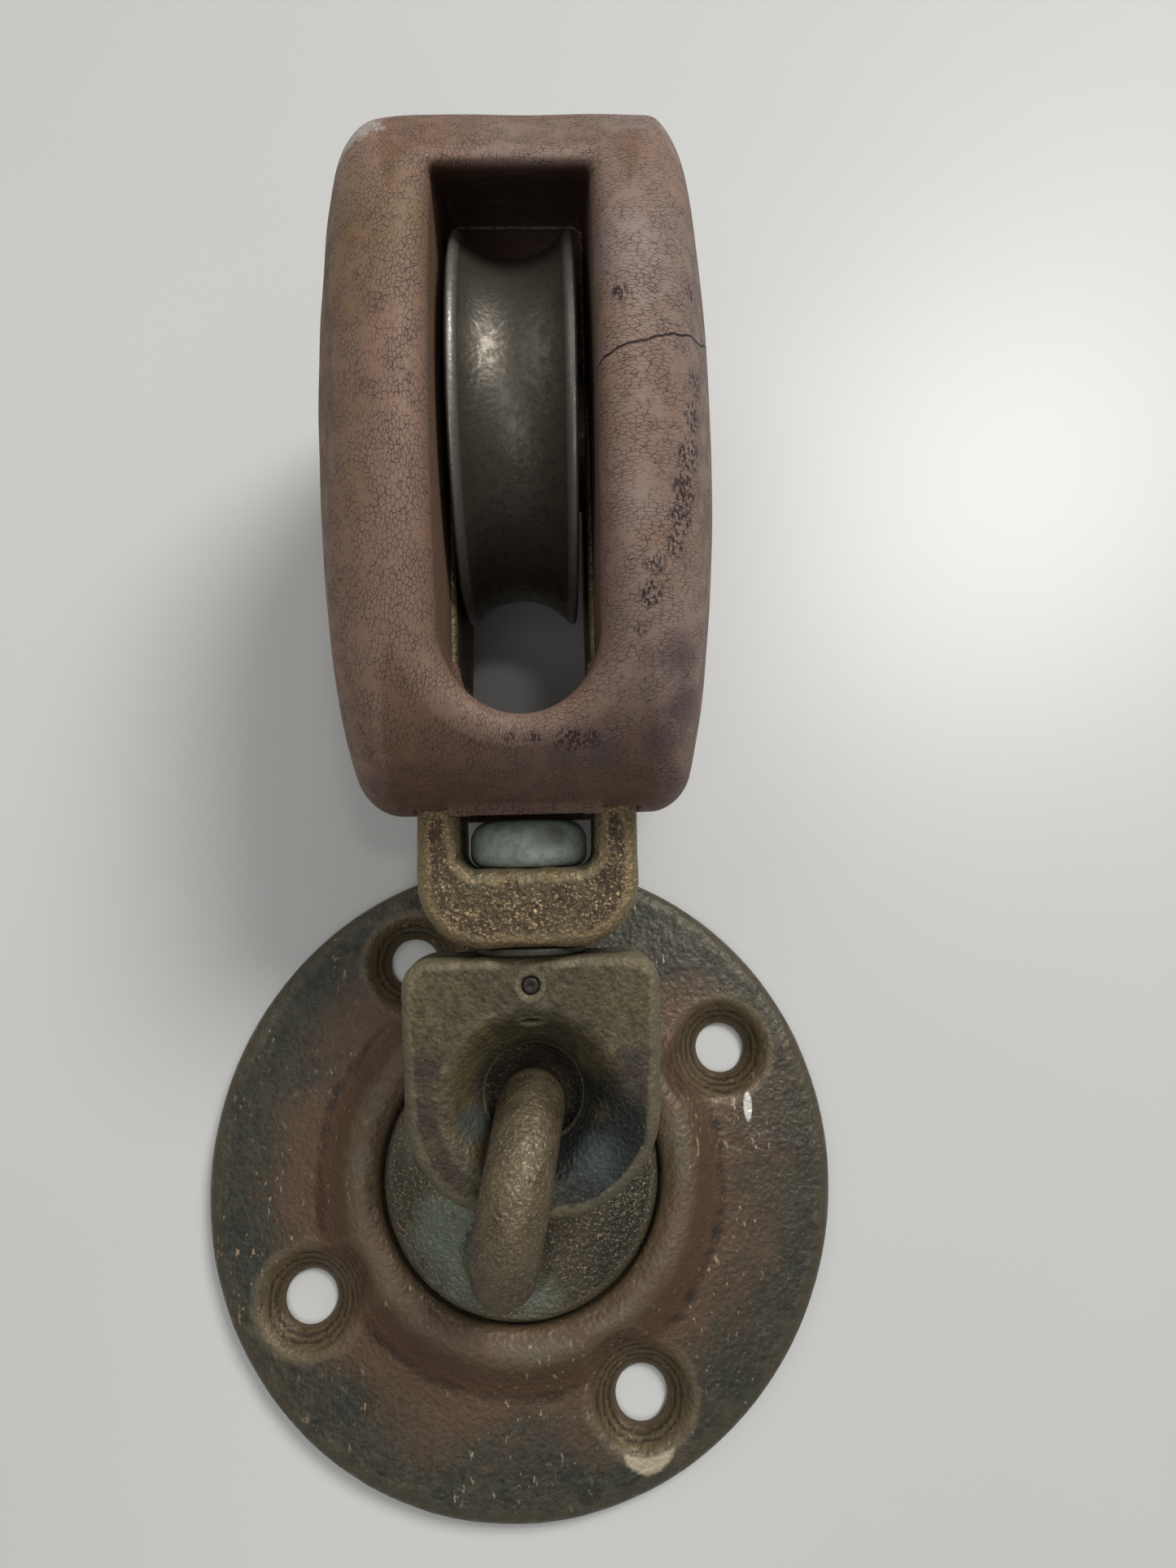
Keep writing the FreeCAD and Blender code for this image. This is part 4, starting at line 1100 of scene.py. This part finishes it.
        crescent = nodes.math("MULTIPLY", cream, nodes.math("SUBTRACT", 1.0, inside))
        colour = nodes.blend(crescent, colour, (0.50, 0.43, 0.29))
        x, y = self.screws()[0]
        tick = nodes.vector("SUBTRACT", place, (x + 3.7, y - 9.4, 4.9)).outputs[0]
        squeezed = nodes.vector("MULTIPLY", tick, (2.6, 0.8, 0.6)).outputs[0]
        white = nodes.ramp(nodes.vector("LENGTH", squeezed).outputs["Value"], 2.2, 1.4)
        return nodes.blend(nodes.math("MULTIPLY", white, 0.9), colour, (0.74, 0.72, 0.66))

    def build(self) -> None:
        """Make and dress the plate."""
        reach = self.rim + 1.5
        net = cast(self.surface, (-reach, -reach, -1.0), (reach, reach, 10.6), self.step)
        material = self.dresser.bronze(BRONZES["plate"], self.marks)
        self.shop.piece("deck_plate", net, self.shop.places["plate"], "base", ["base_plate"],
                        "plate_bronze", material)
        sheet = self.dresser.bronze(BRONZES["sheet"])
        self.shop.dress("eye_bearing_washer", sheet)
        self.shop.dress("eye_retaining_disc", sheet)


# ---------------------------------------------------------------- swivel eye
@dataclass
class SwivelEye:
    """Domed turntable with its round-bar bail."""

    shop: Workshop
    dresser: Dresser
    flange: float = 26.0
    flange_low: float = 1.65
    flange_high: float = 4.65
    dome: float = 22.0
    dome_edge: float = 7.3
    dome_top: float = 11.3
    height: float = 20.5
    arch: float = 11.7
    bar: float = 4.9
    root: float = 2.6
    step: float = 0.6

    def surface(self, p: np.ndarray) -> np.ndarray:
        """Field of the eye.

        Args:
            p: points in the piece's frame, one to a row.

        Returns:
            The field at each point, below 0 inside.
        """
        r = np.hypot(p[:, 0], p[:, 1])
        rise = self.dome_top - self.dome_edge
        ball = (self.dome ** 2 + rise ** 2) / (2 * rise)
        over = np.hypot(r, p[:, 2] - self.dome_top + ball) - ball - 0.08 * ripple(p, 9.0, 8)
        cap = edge_and(edge_and(over, r - self.dome, 1.3), self.flange_low - p[:, 2], 0.2)
        flange = edge_and(r - self.flange, slab(p, 2, self.flange_low, self.flange_high), 0.3)
        along = np.abs(p[:, 1])
        above = p[:, 2] - self.height
        hoop = np.hypot(np.hypot(along, above) - self.arch, p[:, 0]) - self.bar
        leg = np.hypot(along - self.arch, p[:, 0]) - self.bar
        bail = np.where(above > 0, hoop, leg) - 0.05 * ripple(p, 5.0, 9)
        bail = np.maximum(bail, 6.0 - p[:, 2])
        return np.minimum(edge_or(cap, bail, self.root), flange)

    def marks(self, nodes: Nodes, place: object, colour: object) -> object:
        """Verdigris and dark patches on the dome, the link's painted shadow on its east rim, and a polished
        top to the bar.

        Args:
            nodes: the material's node helper.
            place: socket with the place.
            colour: the colour under the marks.

        Returns:
            The colour with the marks.
        """
        parts = nodes.add("ShaderNodeSeparateXYZ", {0: place}).outputs
        low = nodes.ramp(parts[2], 15.0, 11.2)
        colour = nodes.blend(nodes.math("MULTIPLY", low, 0.8), colour, (0.092, 0.078, 0.050))
        for centre, radius in (((-9.5, -10.0, 9), 8.0), ((-6.0, -17.0, 9), 6.0), ((5.5, -17.5, 9), 5.0),
                               ((-15.0, 4.0, 8), 6.0), ((13.0, 10.0, 8), 7.0)):
            green = self.dresser.spot_mask(nodes, place, centre, radius, 4.0, 8.0, 0.25)
            green = nodes.math("MULTIPLY", nodes.math("MULTIPLY", green, low), 0.85)
            colour = nodes.blend(green, colour, (0.165, 0.200, 0.150))
        dusk = nodes.group(self.dresser.effects.stain, place=place, scale=0.2, cover=0.3).outputs[0]
        colour = nodes.blend(nodes.math("MULTIPLY", nodes.math("MULTIPLY", dusk, low), 0.6), colour,
                             (0.050, 0.038, 0.026))
        # Painted shadow: the dome's east side towards the rim is darkened, as if shaded by the link above it.
        link_shadow_east = nodes.math("MULTIPLY", nodes.ramp(parts[0], 8.0, 17.0), low)
        colour = nodes.blend(nodes.math("MULTIPLY", link_shadow_east, 0.8), colour, (0.026, 0.023, 0.016))
        high = nodes.ramp(parts[2], 26.0, 37.0)
        return nodes.blend(nodes.math("MULTIPLY", high, 0.25), colour, (0.20, 0.155, 0.085))

    def build(self) -> None:
        """Make and dress the eye."""
        reach = self.flange + 1.2
        net = cast(self.surface, (-reach, -reach, 0.5), (reach, reach, 38.6), self.step)
        material = self.dresser.bronze(BRONZES["eye"], self.marks)
        self.shop.piece("bail_eye", net, self.shop.places["bail"], "eye", ["swivel_eye"],
                        "eye_bronze", material)


# ---------------------------------------------------------------- link and stud
@dataclass
class EyeLink:
    """Shield-shaped link, dished round its hole, and the stud that it holds."""

    shop: Workshop
    dresser: Dresser
    stations: Stations
    eye: float = 16.9
    waist: float = 18.3
    half_width: float = 18.8
    thickness: float = 12.3
    corner: float = 4.6
    edge: float = 1.7
    hole: float = 7.2
    dish: float = 12.2
    stud: float = 4.7
    head: float = 8.7
    head_low: float = 33.1
    head_height: float = 7.0
    step: float = 0.5

    def surface(self, p: np.ndarray) -> np.ndarray:
        """Field of the link.

        Args:
            p: points in the piece's frame, one to a row.

        Returns:
            The field at each point, below 0 inside.
        """
        x, y, z = np.abs(p[:, 0]), p[:, 1], p[:, 2]
        top = self.stations.link_head
        straight = x - self.waist - (self.half_width - self.waist) * np.clip(y / top, 0, 1)
        power = 2.25
        ring = (x / self.waist) ** power + (np.minimum(y, 0) / -self.eye) ** power
        side = np.where(y > 0, straight, (ring ** (1 / power) - 1) * self.eye)
        outline = edge_and(side, y - top, self.corner)
        plate = edge_and(outline, np.abs(z) - self.thickness / 2, self.edge)
        plate = plate - 0.07 * ripple(p, 6.0, 12) - 0.03 * ripple(p, 2.6, 13)
        slant = (self.dish - self.hole) / (self.thickness / 2 - 0.6)
        bore = self.hole + np.maximum(np.abs(z) - 0.6, 0) * slant
        away = np.hypot(p[:, 0], y)
        plate = less(plate, (away - bore) / math.hypot(1, slant), 1.1)
        worn = np.sqrt(((p[:, 0] - 9.0) / 8.6) ** 2 + ((y + 5.5) / 10.5) ** 2 + ((z - 8.6) / 4.6) ** 2) - 1
        plate = less(plate, worn * 4.6, 1.4)
        pin = rod(p, 2, (0.0, top - 4.2), 1.35)
        plate = less(plate, pin, 0.3)
        socket = np.maximum(rod(p, 1, (0.0, 0.0), self.stud + 0.05), 11.0 - y)
        return less(plate, socket, 0.5)

    def marks(self, nodes: Nodes, place: object, colour: object) -> object:
        """Near-black dish (dark patina and painted shade), blue-green bloom, brown stain down the left, dark
        flakes at the right.

        Args:
            nodes: the material's node helper.
            place: socket with the place.
            colour: the colour under the marks.

        Returns:
            The colour with the marks.
        """
        spot = self.dresser.spot_mask
        # Partly dark patina and partly painted shade: the deep dish is made near-black.
        dish = spot(nodes, place, (7.5, -6.0, 3.5), 11.0, 3.0, 5.0, 0.25)
        colour = nodes.blend(nodes.math("MULTIPLY", dish, 0.95), colour, (0.008, 0.011, 0.010))
        pale = spot(nodes, place, (9.5, -9.0, 3.0), 4.5, 3.0, 4.0, 0.4)
        colour = nodes.blend(nodes.math("MULTIPLY", pale, 0.6), colour, (0.048, 0.072, 0.068))
        # Painted shade: the bore and the inner dish round it are made near-black.
        bore = spot(nodes, place, (0, 0, 1.0), 9.2, 2.0, 1.6, 0.5)
        colour = nodes.blend(nodes.math("MULTIPLY", bore, 0.92), colour, (0.010, 0.011, 0.010))
        hollow = spot(nodes, place, (-8.6, -3.6, 3.5), 3.4, 1.6, 2.4, 0.5)
        colour = nodes.blend(nodes.math("MULTIPLY", hollow, 0.7), colour, (0.048, 0.064, 0.060))
        for centre, radius in (((-15.5, 4.5, 6), 3.6), ((-15.0, -2.0, 6), 4.0), ((-12.5, -8.5, 6), 4.0)):
            stain = spot(nodes, place, centre, radius, 2.0, 3.0, 0.45)
            colour = nodes.blend(nodes.math("MULTIPLY", stain, 0.75), colour, (0.040, 0.026, 0.020))
        for centre, radius in (((13.6, 4.6, 6.0), 2.6), ((11.8, 2.0, 5.2), 2.2), ((9.6, -2.4, 3.6), 1.8)):
            flake = spot(nodes, place, centre, radius, 0.8, 3.4, 0.7)
            colour = nodes.blend(nodes.math("MULTIPLY", flake, 0.85), colour, (0.040, 0.028, 0.015))
        # Painted shade: the link's right edge is darkened.
        shade = spot(nodes, place, (17.0, 4.0, 4.0), 7.5, 4.0, 4.0, 0.3)
        return nodes.blend(nodes.math("MULTIPLY", shade, 0.4), colour, (0.058, 0.048, 0.042))

    def build(self) -> None:
        """Make and dress the link, the stud, its washer and its pin."""
        block = self.shop.places["block"]
        reach = self.half_width + 1.2
        head = self.stations.link_head + 1.2
        net = cast(self.surface, (-reach, -18.4, -7.6), (reach, head, 7.6), self.step)
        link = self.dresser.bronze(BRONZES["link"], self.marks)
        self.shop.piece("shield_link", net, block, "link", ["eye_link"], "link_bronze", link)

        top = self.head_low + self.head_height
        foot = self.stations.link_head - 9.2
        outline = filleted([(foot, 0.01, 0), (foot, self.stud, 0.5), (self.head_low, self.stud, 0.3),
                            (self.head_low, self.head, 2.4), (top, self.head, 3.2), (top, 0.01, 0)])
        stud = self.dresser.bronze(BRONZES["stud"], self.stud_marks)
        upright = Place(block.origin, block.along, block.up, block.across)
        self.shop.piece("stud", turned(outline, 96), upright, "link", ["swivel_stud"],
                        "stud_bronze", stud)

        low = self.stations.link_head + 0.1
        ring = filleted([(low, self.stud + 0.06, 0.1), (low, 8.3, 0.3), (low + 1.0, 8.3, 0.3),
                         (low + 1.0, self.stud + 0.06, 0.1)])
        self.shop.piece("crown_washer", turned(ring, 96), upright, "link", ["stud_washer"],
                        "washer_bronze", self.dresser.bronze(BRONZES["washer"]))

        end = self.thickness / 2 + 0.05
        pin = filleted([(-end, 0.01, 0), (-end, 1.2, 0.35), (end, 1.2, 0.35), (end, 0.01, 0)])
        across_pin = Place(block.moved(y=self.stations.link_head - 4.2).origin, block.up, block.across,
                           block.along)
        dark = self.dresser.bronze(BRONZES["pin"])
        self.shop.piece("cross_pin", turned(pin, 48), across_pin, "link", ["stud_locking_pin"],
                        "pin_bronze", dark)

    def stud_marks(self, nodes: Nodes, place: object, colour: object) -> object:
        """Brown bruise and grey blots on the head.

        Args:
            nodes: the material's node helper.
            place: socket with the place.
            colour: the colour under the marks.

        Returns:
            The colour with the marks.
        """
        bruise = self.dresser.spot_mask(nodes, place, (self.head_low + 4.5, 7.5, 4.2), 2.2, 1.2, 1.8, 0.8)
        colour = nodes.blend(nodes.math("MULTIPLY", bruise, 0.7), colour, (0.065, 0.034, 0.027))
        blot = self.dresser.spot_mask(nodes, place, (self.head_low + 3.8, 8.2, 2.0), 2.2, 1.5, 2.5, 0.8)
        return nodes.blend(nodes.math("MULTIPLY", blot, 0.5), colour, (0.055, 0.062, 0.062))


# ---------------------------------------------------------------- strap
@dataclass
class Strap:
    """Bow and arms of the strap."""

    shop: Workshop
    dresser: Dresser
    stations: Stations
    outer: float = 15.85
    inner: float = 9.6
    depth: float = 17.0
    arm_depth: float = 16.0
    corner: float = 9.6
    window_corner: float = 2.6
    edge: float = 1.9
    stud: float = 4.75
    axle: float = 5.03
    step: float = 0.6

    def surface(self, p: np.ndarray) -> np.ndarray:
        """Field of the strap.

        Args:
            p: points in the piece's frame, one to a row.

        Returns:
            The field at each point, below 0 inside.
        """
        x, y, z = np.abs(p[:, 0]), p[:, 1], p[:, 2]
        stations = self.stations
        outside = edge_and(x - self.outer, stations.crown - y, self.corner)
        window = edge_and(x - self.inner, stations.window - y, self.window_corner)
        flat = less(outside, window, 0.6)
        bow = edge_and(flat, np.abs(z) - self.depth / 2, self.edge)
        bow = bow - 0.07 * ripple(p, 5.0, 20) - 0.03 * ripple(p, 2.4, 21)
        end = np.where(y > stations.axle, np.hypot(y - stations.axle, z), np.abs(z)) - self.arm_depth / 2
        arms = edge_and(edge_and(slab(np.column_stack([x, y, z]), 0, self.inner, self.outer), end, 0.6),
                        stations.shell_start - 1.0 - y, 0.1)
        body = np.where(y < stations.shell_start + 0.8, np.maximum(bow, y - stations.shell_start - 1.0), arms)
        body = less(body, np.maximum(rod(p, 1, (0.0, 0.0), self.stud), y - 35.0), 0.6)
        return less(body, rod(p, 0, (stations.axle, 0.0), self.axle), 0.5)

    def marks(self, nodes: Nodes, place: object, colour: object) -> object:
        """Green bloom round the window, and painted shade darkening the arms inside the shell.

        Args:
            nodes: the material's node helper.
            place: socket with the place.
            colour: the colour under the marks.

        Returns:
            The colour with the marks.
        """
        spot = self.dresser.spot_mask
        for x in (-7.0, 0.0, 7.0):
            bloom = spot(nodes, place, (x, self.stations.window - 0.2, 7.5), 3.6, 2.2, 2.0, 0.6)
            colour = nodes.blend(nodes.math("MULTIPLY", bloom, 0.6), colour, (0.120, 0.128, 0.090))
        parts = nodes.add("ShaderNodeSeparateXYZ", {0: place}).outputs
        # Painted shade: the arms are darkened where they run inside the shell.
        deep = nodes.ramp(parts[1], self.stations.shell_start, self.stations.shell_start + 4)
        return nodes.blend(nodes.math("MULTIPLY", deep, 0.75), colour, (0.050, 0.045, 0.031))

    def build(self) -> None:
        """Make and dress the strap."""
        top = self.stations.axle + self.arm_depth / 2
        net = cast(self.surface, (-17.2, self.stations.crown - 1.2, -9.8), (17.2, top + 1.2, 9.8), self.step)
        material = self.dresser.bronze(BRONZES["strap"], self.marks)
        self.shop.piece("bow_strap", net, self.shop.places["block"], "block", ["strap"],
                        "strap_bronze", material)


# ---------------------------------------------------------------- shell
@dataclass
class Shell:
    """One-piece rubber shell round the strap."""

    shop: Workshop
    dresser: Dresser
    stations: Stations
    length: float = 100.0
    depth: float = 75.3
    oval_reach: float = 55.0
    wide: float = 29.05
    end_wide: float = 23.9
    front_wide: float = 12.5
    corner: float = 4.5
    rubbed_corner: float = 13.0
    edge: float = 6.8
    crest_round: float = 5.0
    crest_spare: float = 2.4
    throat: float = 10.25
    throat_foot: float = 9.1
    sill: float = 12.0
    crown_lean: float = 10.8
    lean_height: float = 27.4
    lean_end: float = 30.0
    axle: float = 5.03
    seat: float = 15.95
    seat_deep: float = 8.05
    washer: float = 9.53
    washer_from: float = 24.1
    step: float = 0.75

    def surface(self, p: np.ndarray) -> np.ndarray:
        """Field of the shell.

        Args:
            p: points in the piece's frame, one to a row.

        Returns:
            The field at each point, below 0 inside.
        """
        half, deep = self.length / 2, self.depth / 2
        x, y, z = np.abs(p[:, 0]), p[:, 1] - self.stations.shell_centre, p[:, 2]
        round_y, round_z = y / self.oval_reach, z / (deep + 0.25)
        reach = np.maximum(np.hypot(round_y, round_z), 1e-6)
        slope = np.hypot(round_y / self.oval_reach, round_z / deep) / reach
        oval = (reach - 1) / np.maximum(slope, 0.015)
        belly = self.end_wide + (self.wide - self.end_wide) * (1 - np.clip(y / half, -1.1, 1.1) ** 2)
        swell = belly - self.front_wide
        round_x = np.maximum(x - self.front_wide, 0) / swell
        round_z = z / (deep + self.crest_spare)
        reach = np.maximum(np.hypot(round_x, round_z), 1e-6)
        slope = np.hypot(round_x / swell, round_z / deep) / reach
        section = (reach - 1) / np.maximum(slope, 0.015)
        corner = np.where((p[:, 0] < 0) & (y > 0), self.rubbed_corner, self.corner)
        front = edge_and(x - belly, np.abs(y) - half, corner)
        body = edge_and(edge_and(front, oval, self.edge), section, self.crest_round)
        body = body - 0.10 * ripple(p, 17.0, 30) + 0.02
        return self.hollowed(body, p)

    def hollowed(self, body: np.ndarray, p: np.ndarray) -> np.ndarray:
        """Field less the throat, the arm seats and the washer seats.

        Args:
            body: the shell's field at each point.
            p: points in the block's frame, one to a row.

        Returns:
            The field of what is left.
        """
        x, y, z = np.abs(p[:, 0]), p[:, 1], p[:, 2]
        low, high = self.stations.throat_low, self.stations.throat_high
        crown = high - self.crown_lean * (np.minimum(np.abs(z), self.lean_end) / self.lean_height) ** 1.5
        slot = edge_and(x - self.throat, (y - crown) * 0.9, 0.9)
        slot = np.maximum(slot, np.hypot(x, np.minimum(y - low - self.throat, 0)) - self.throat)
        lip = np.interp(y, (low, 80.0, high - 22, high - 11), (4.6, 4.8, 4.0, 2.8))
        body = less(body, slot, lip)
        foot = low + self.throat_foot
        sill = edge_and(self.throat_foot - np.hypot(x, np.minimum(y - foot, 0)), np.abs(z) - self.sill, 1.6)
        sill = np.maximum(np.maximum(sill, x - self.throat - 0.5), y - foot)
        body = edge_or(body, sill, 0.8)
        axle = self.stations.axle
        deep = np.where(y > axle, np.hypot(y - axle, z), np.abs(z)) - self.seat_deep
        seat = np.maximum(np.maximum(x - self.seat, self.throat - 2.0 - x), deep)
        body = less(body, seat, 0.5)
        away = np.hypot(y - axle, z)
        washer = np.maximum(away - self.washer, self.washer_from - x)
        return less(body, np.minimum(washer, away - self.axle), 0.7)

    def flash(self) -> Net:
        """Thin moulding line round the inside of the throat, halfway through.

        Returns:
            The mesh.
        """
        low, high = self.stations.throat_low, self.stations.throat_high
        wall = self.throat
        path = [(-wall, self.stations.axle + 9.5), (-wall, high - 1.3), (-wall + 1.3, high),
                (wall - 1.3, high), (wall, high - 1.3), (wall, self.stations.axle + 9.5)]
        route: list[np.ndarray] = []
        for start, end in zip(path, path[1:]):
            count = max(2, int(math.dist(start, end) / 0.8))
            route += [np.array(start) + (np.array(end) - np.array(start)) * n / count for n in range(count)]
        route.append(np.array(path[-1]))
        line = np.array(route)
        centre = np.array((0.0, 0.5 * (low + high)))
        points, quads = [], []
        for n, spot in enumerate(line):
            inward = centre - spot
            inward = np.array((inward[0], 0.0)) if abs(spot[0]) > wall - 0.5 else np.array((0.0, -1.0))
            inward = inward / np.linalg.norm(inward)
            high_by = 0.42 + 0.12 * math.sin(n * 1.9) + 0.08 * math.sin(n * 0.7)
            for out, up in ((-0.3, -0.32), (high_by, -0.06), (high_by, 0.06), (-0.3, 0.32)):
                points.append((*(spot + inward * out), up))
        for n in range(len(line) - 1):
            for m in range(4):
                quads.append((4 * n + m, 4 * n + (m + 1) % 4, 4 * n + 4 + (m + 1) % 4, 4 * n + 4 + m))
        quads.append((3, 2, 1, 0))
        last = 4 * (len(line) - 1)
        quads.append((last, last + 1, last + 2, last + 3))
        return Net(np.array(points), np.array(quads))

    def build(self) -> None:
        """Make and dress the shell."""
        half = self.length / 2 + 1.5
        centre = self.stations.shell_centre
        net = cast(self.surface, (-self.wide - 1.5, centre - half, -self.depth / 2 - 1.5),
                   (self.wide + 1.5, centre + half, self.depth / 2 + 1.5), self.step)
        material = self.dresser.rubber("shell_rubber")
        block = self.shop.places["block"]
        self.shop.piece("cheek_shell", net, block, "block", ["rubber_shell"], "shell_rubber", material)
        line = self.dresser.pale_rubber("mould_line_rubber")
        self.shop.piece("mould_line", self.flash(), block, "block", [], "shell_rubber", line)


# ---------------------------------------------------------------- sheave
@dataclass
class Sheave:
    """Grooved sheave with its bush, and the axle's fastenings."""

    shop: Workshop
    dresser: Dresser
    radius: float = 28.5
    half_width: float = 8.5
    land: float = 0.9
    groove: float = 3.7
    web: float = 6.0
    web_outer: float = 22.0
    hub: float = 12.0
    hub_half: float = 8.0
    bush: float = 8.03

    def outline(self) -> list[tuple[float, float]]:
        """Half-section of the sheave.

        Returns:
            Places along the axis and distances from it.
        """
        shoulder = self.half_width - self.land
        low = self.radius - self.groove
        radius = (shoulder ** 2 + self.groove ** 2) / (2 * self.groove)
        swing = math.asin(shoulder / radius)
        arc = [(radius * math.sin(swing * t), low + radius - radius * math.cos(swing * t))
               for t in np.linspace(-1, 1, 25)]
        right = filleted([
            (arc[-1][0], arc[-1][1], 0), (self.half_width - 0.25, self.radius, 0.3),
            (self.half_width, self.radius - 0.5, 0.3), (self.half_width, self.web_outer, 0.8),
            (self.web, self.web_outer - 2.5, 2.0), (self.web, self.hub + 2.5, 2.0),
            (self.hub_half, self.hub, 0.8), (self.hub_half, self.bush, 0)], closed=False)
        left = [(-x, r) for x, r in reversed(right)]
        return arc[1:-1] + right + left

    def marks(self, nodes: Nodes, place: object, colour: object) -> object:
        """Bright worn edges at the rims and rub lines round the groove.

        Args:
            nodes: the material's node helper.
            place: socket with the place.
            colour: the colour under the marks.

        Returns:
            The colour with the marks.
        """
        parts = nodes.add("ShaderNodeSeparateXYZ", {0: place}).outputs
        side = nodes.math("ABSOLUTE", parts[0])
        away = nodes.vector("LENGTH", nodes.vector("MULTIPLY", place, (0, 1, 1)).outputs[0]).outputs["Value"]
        high = nodes.ramp(away, self.radius - 1.1, self.radius - 0.1)
        edge = nodes.math("MULTIPLY", high, nodes.ramp(side, self.half_width - 1.8, self.half_width - 0.6))
        colour = nodes.blend(nodes.math("MULTIPLY", edge, 0.45), colour, (0.20, 0.19, 0.175))
        stretched = nodes.vector("MULTIPLY", place, (2.4, 0.10, 0.10)).outputs[0]
        lines = nodes.ramp(nodes.noise(stretched, 1.4, 5.0, 0.7), 0.5, 0.72)
        return nodes.blend(nodes.math("MULTIPLY", lines, 0.30), colour, (0.110, 0.098, 0.080))

    def build(self) -> None:
        """Make and dress the sheave and what holds it."""
        material = self.dresser.bronze(BRONZES["sheave"], self.marks)
        self.shop.piece("grooved_sheave", turned(self.outline(), 192), self.shop.places["sheave"], "sheave",
                        ["sheave"], "sheave_bronze", material)
        self.shop.dress("sheave_bush", self.dresser.bronze(BRONZES["bush"]))
        sheet = bpy.data.materials["sheet_bronze"]
        for node in ("left_thrust_washer", "right_thrust_washer", "left_cheek_washer",
                     "right_cheek_washer", "axle_pin", "axle_cap_nut"):
            self.shop.dress(node, sheet)


# ---------------------------------------------------------------- studio
@dataclass(frozen=True)
class Lamp:
    """A round soft light aimed at the object.

    Attributes:
        name: its name.
        place: where it is, in metres.
        size: its diameter in metres.
        power: its power in watts.
    """

    name: str
    place: tuple[float, float, float]
    size: float
    power: float


LAMPS = (Lamp("key", (0.55, 0.66, 0.98), 0.5, 10.5),
         Lamp("fill", (-0.55, 0.45, 0.80), 0.8, 1.5),
         Lamp("front", (-0.10, -0.35, 0.90), 0.5, 1.1),
         Lamp("far_glint", (0.12, 0.36, 0.74), 0.08, 0.07),
         Lamp("near_glint", (0.10, 0.04, 0.66), 0.06, 0.26))


@dataclass
class Studio:
    """Floor, lights and camera.

    Attributes:
        place: the camera's place in metres.
        tilt: how far it looks from straight down towards +Y, in degrees.
        pan: how far it looks aside, in degrees.
        roll: turn about its own axis, in degrees.
        lens: focal length in millimetres for a 36 mm long side.
        aim: what the lamps point at, in metres.
        floor_half: half the floor's side in metres.
    """

    place: tuple[float, float, float] = (0.00570, 0.02162, 0.17399)
    tilt: float = 14.32
    pan: float = -1.767
    roll: float = 0.094
    lens: float = 22.376
    aim: tuple[float, float, float] = (0.0, 0.07, 0.02)
    floor_half: float = 1.6

    def camera(self) -> None:
        """Make the camera and use it."""
        data = bpy.data.cameras.new("camera")
        data.lens = self.lens
        data.sensor_width = 36.0
        data.clip_start = 0.005
        data.clip_end = 20.0
        item = bpy.data.objects.new("camera", data)
        bpy.context.scene.collection.objects.link(item)
        turn = (Matrix.Rotation(math.radians(self.tilt), 4, "X")
                @ Matrix.Rotation(math.radians(self.pan), 4, "Y")
                @ Matrix.Rotation(math.radians(self.roll), 4, "Z"))
        item.matrix_world = Matrix.Translation(self.place) @ turn
        bpy.context.scene.camera = item

    def lights(self) -> None:
        """Make the soft lights and the pale surroundings."""
        world = bpy.data.worlds.new("surroundings")
        world.use_nodes = True
        back = world.node_tree.nodes["Background"]
        back.inputs[0].default_value = (0.86, 0.88, 0.90, 1)
        back.inputs[1].default_value = 0.20
        bpy.context.scene.world = world
        for lamp in LAMPS:
            data = bpy.data.lights.new(lamp.name, "AREA")
            data.shape = "DISK"
            data.size = lamp.size
            data.energy = lamp.power
            data.color = (1.0, 0.985, 0.96)
            item = bpy.data.objects.new(lamp.name, data)
            item.location = lamp.place
            aim = Vector(self.aim) - Vector(lamp.place)
            item.rotation_euler = aim.to_track_quat("-Z", "Y").to_euler()
            bpy.context.scene.collection.objects.link(item)

    def floor(self) -> None:
        """Make the pale floor."""
        mesh = bpy.data.meshes.new("floor")
        h = self.floor_half
        mesh.from_pydata([(-h, -h, 0), (h, -h, 0), (h, h, 0), (-h, h, 0)], [], [(0, 1, 2, 3)])
        item = bpy.data.objects.new("floor", mesh)
        item.location.z = -0.0001
        material = bpy.data.materials.new("pale_floor")
        material.use_nodes = True
        nodes = Nodes(material.node_tree)
        shader = material.node_tree.nodes["Principled BSDF"]
        place = nodes.add("ShaderNodeTexCoord").outputs["Object"]
        cloud = nodes.noise(place, 7.0, 4.0, 0.55)
        nodes.feed(shader.inputs["Base Color"], nodes.blend(cloud, (0.63, 0.635, 0.625), (0.67, 0.675, 0.66)))
        shader.inputs["Roughness"].default_value = 0.38
        mesh.materials.append(material)
        bpy.context.scene.collection.objects.link(item)

    def build(self) -> None:
        """Make the whole studio."""
        self.camera()
        self.lights()
        self.floor()


def main() -> None:
    """Build every piece in order, then the studio."""
    logging.basicConfig(level=logging.INFO, format="%(name)s %(message)s")
    stations = Stations()
    shop = Workshop(make_places(stations))
    dresser = Dresser(Effects())
    for assembly in (BasePlate(shop, dresser), SwivelEye(shop, dresser), EyeLink(shop, dresser, stations),
                     Strap(shop, dresser, stations), Shell(shop, dresser, stations), Sheave(shop, dresser)):
        assembly.build()
    Studio().build()
    bpy.context.scene.view_settings.view_transform = "Standard"
    bpy.context.view_layer.update()


if __name__ == "__main__":
    main()
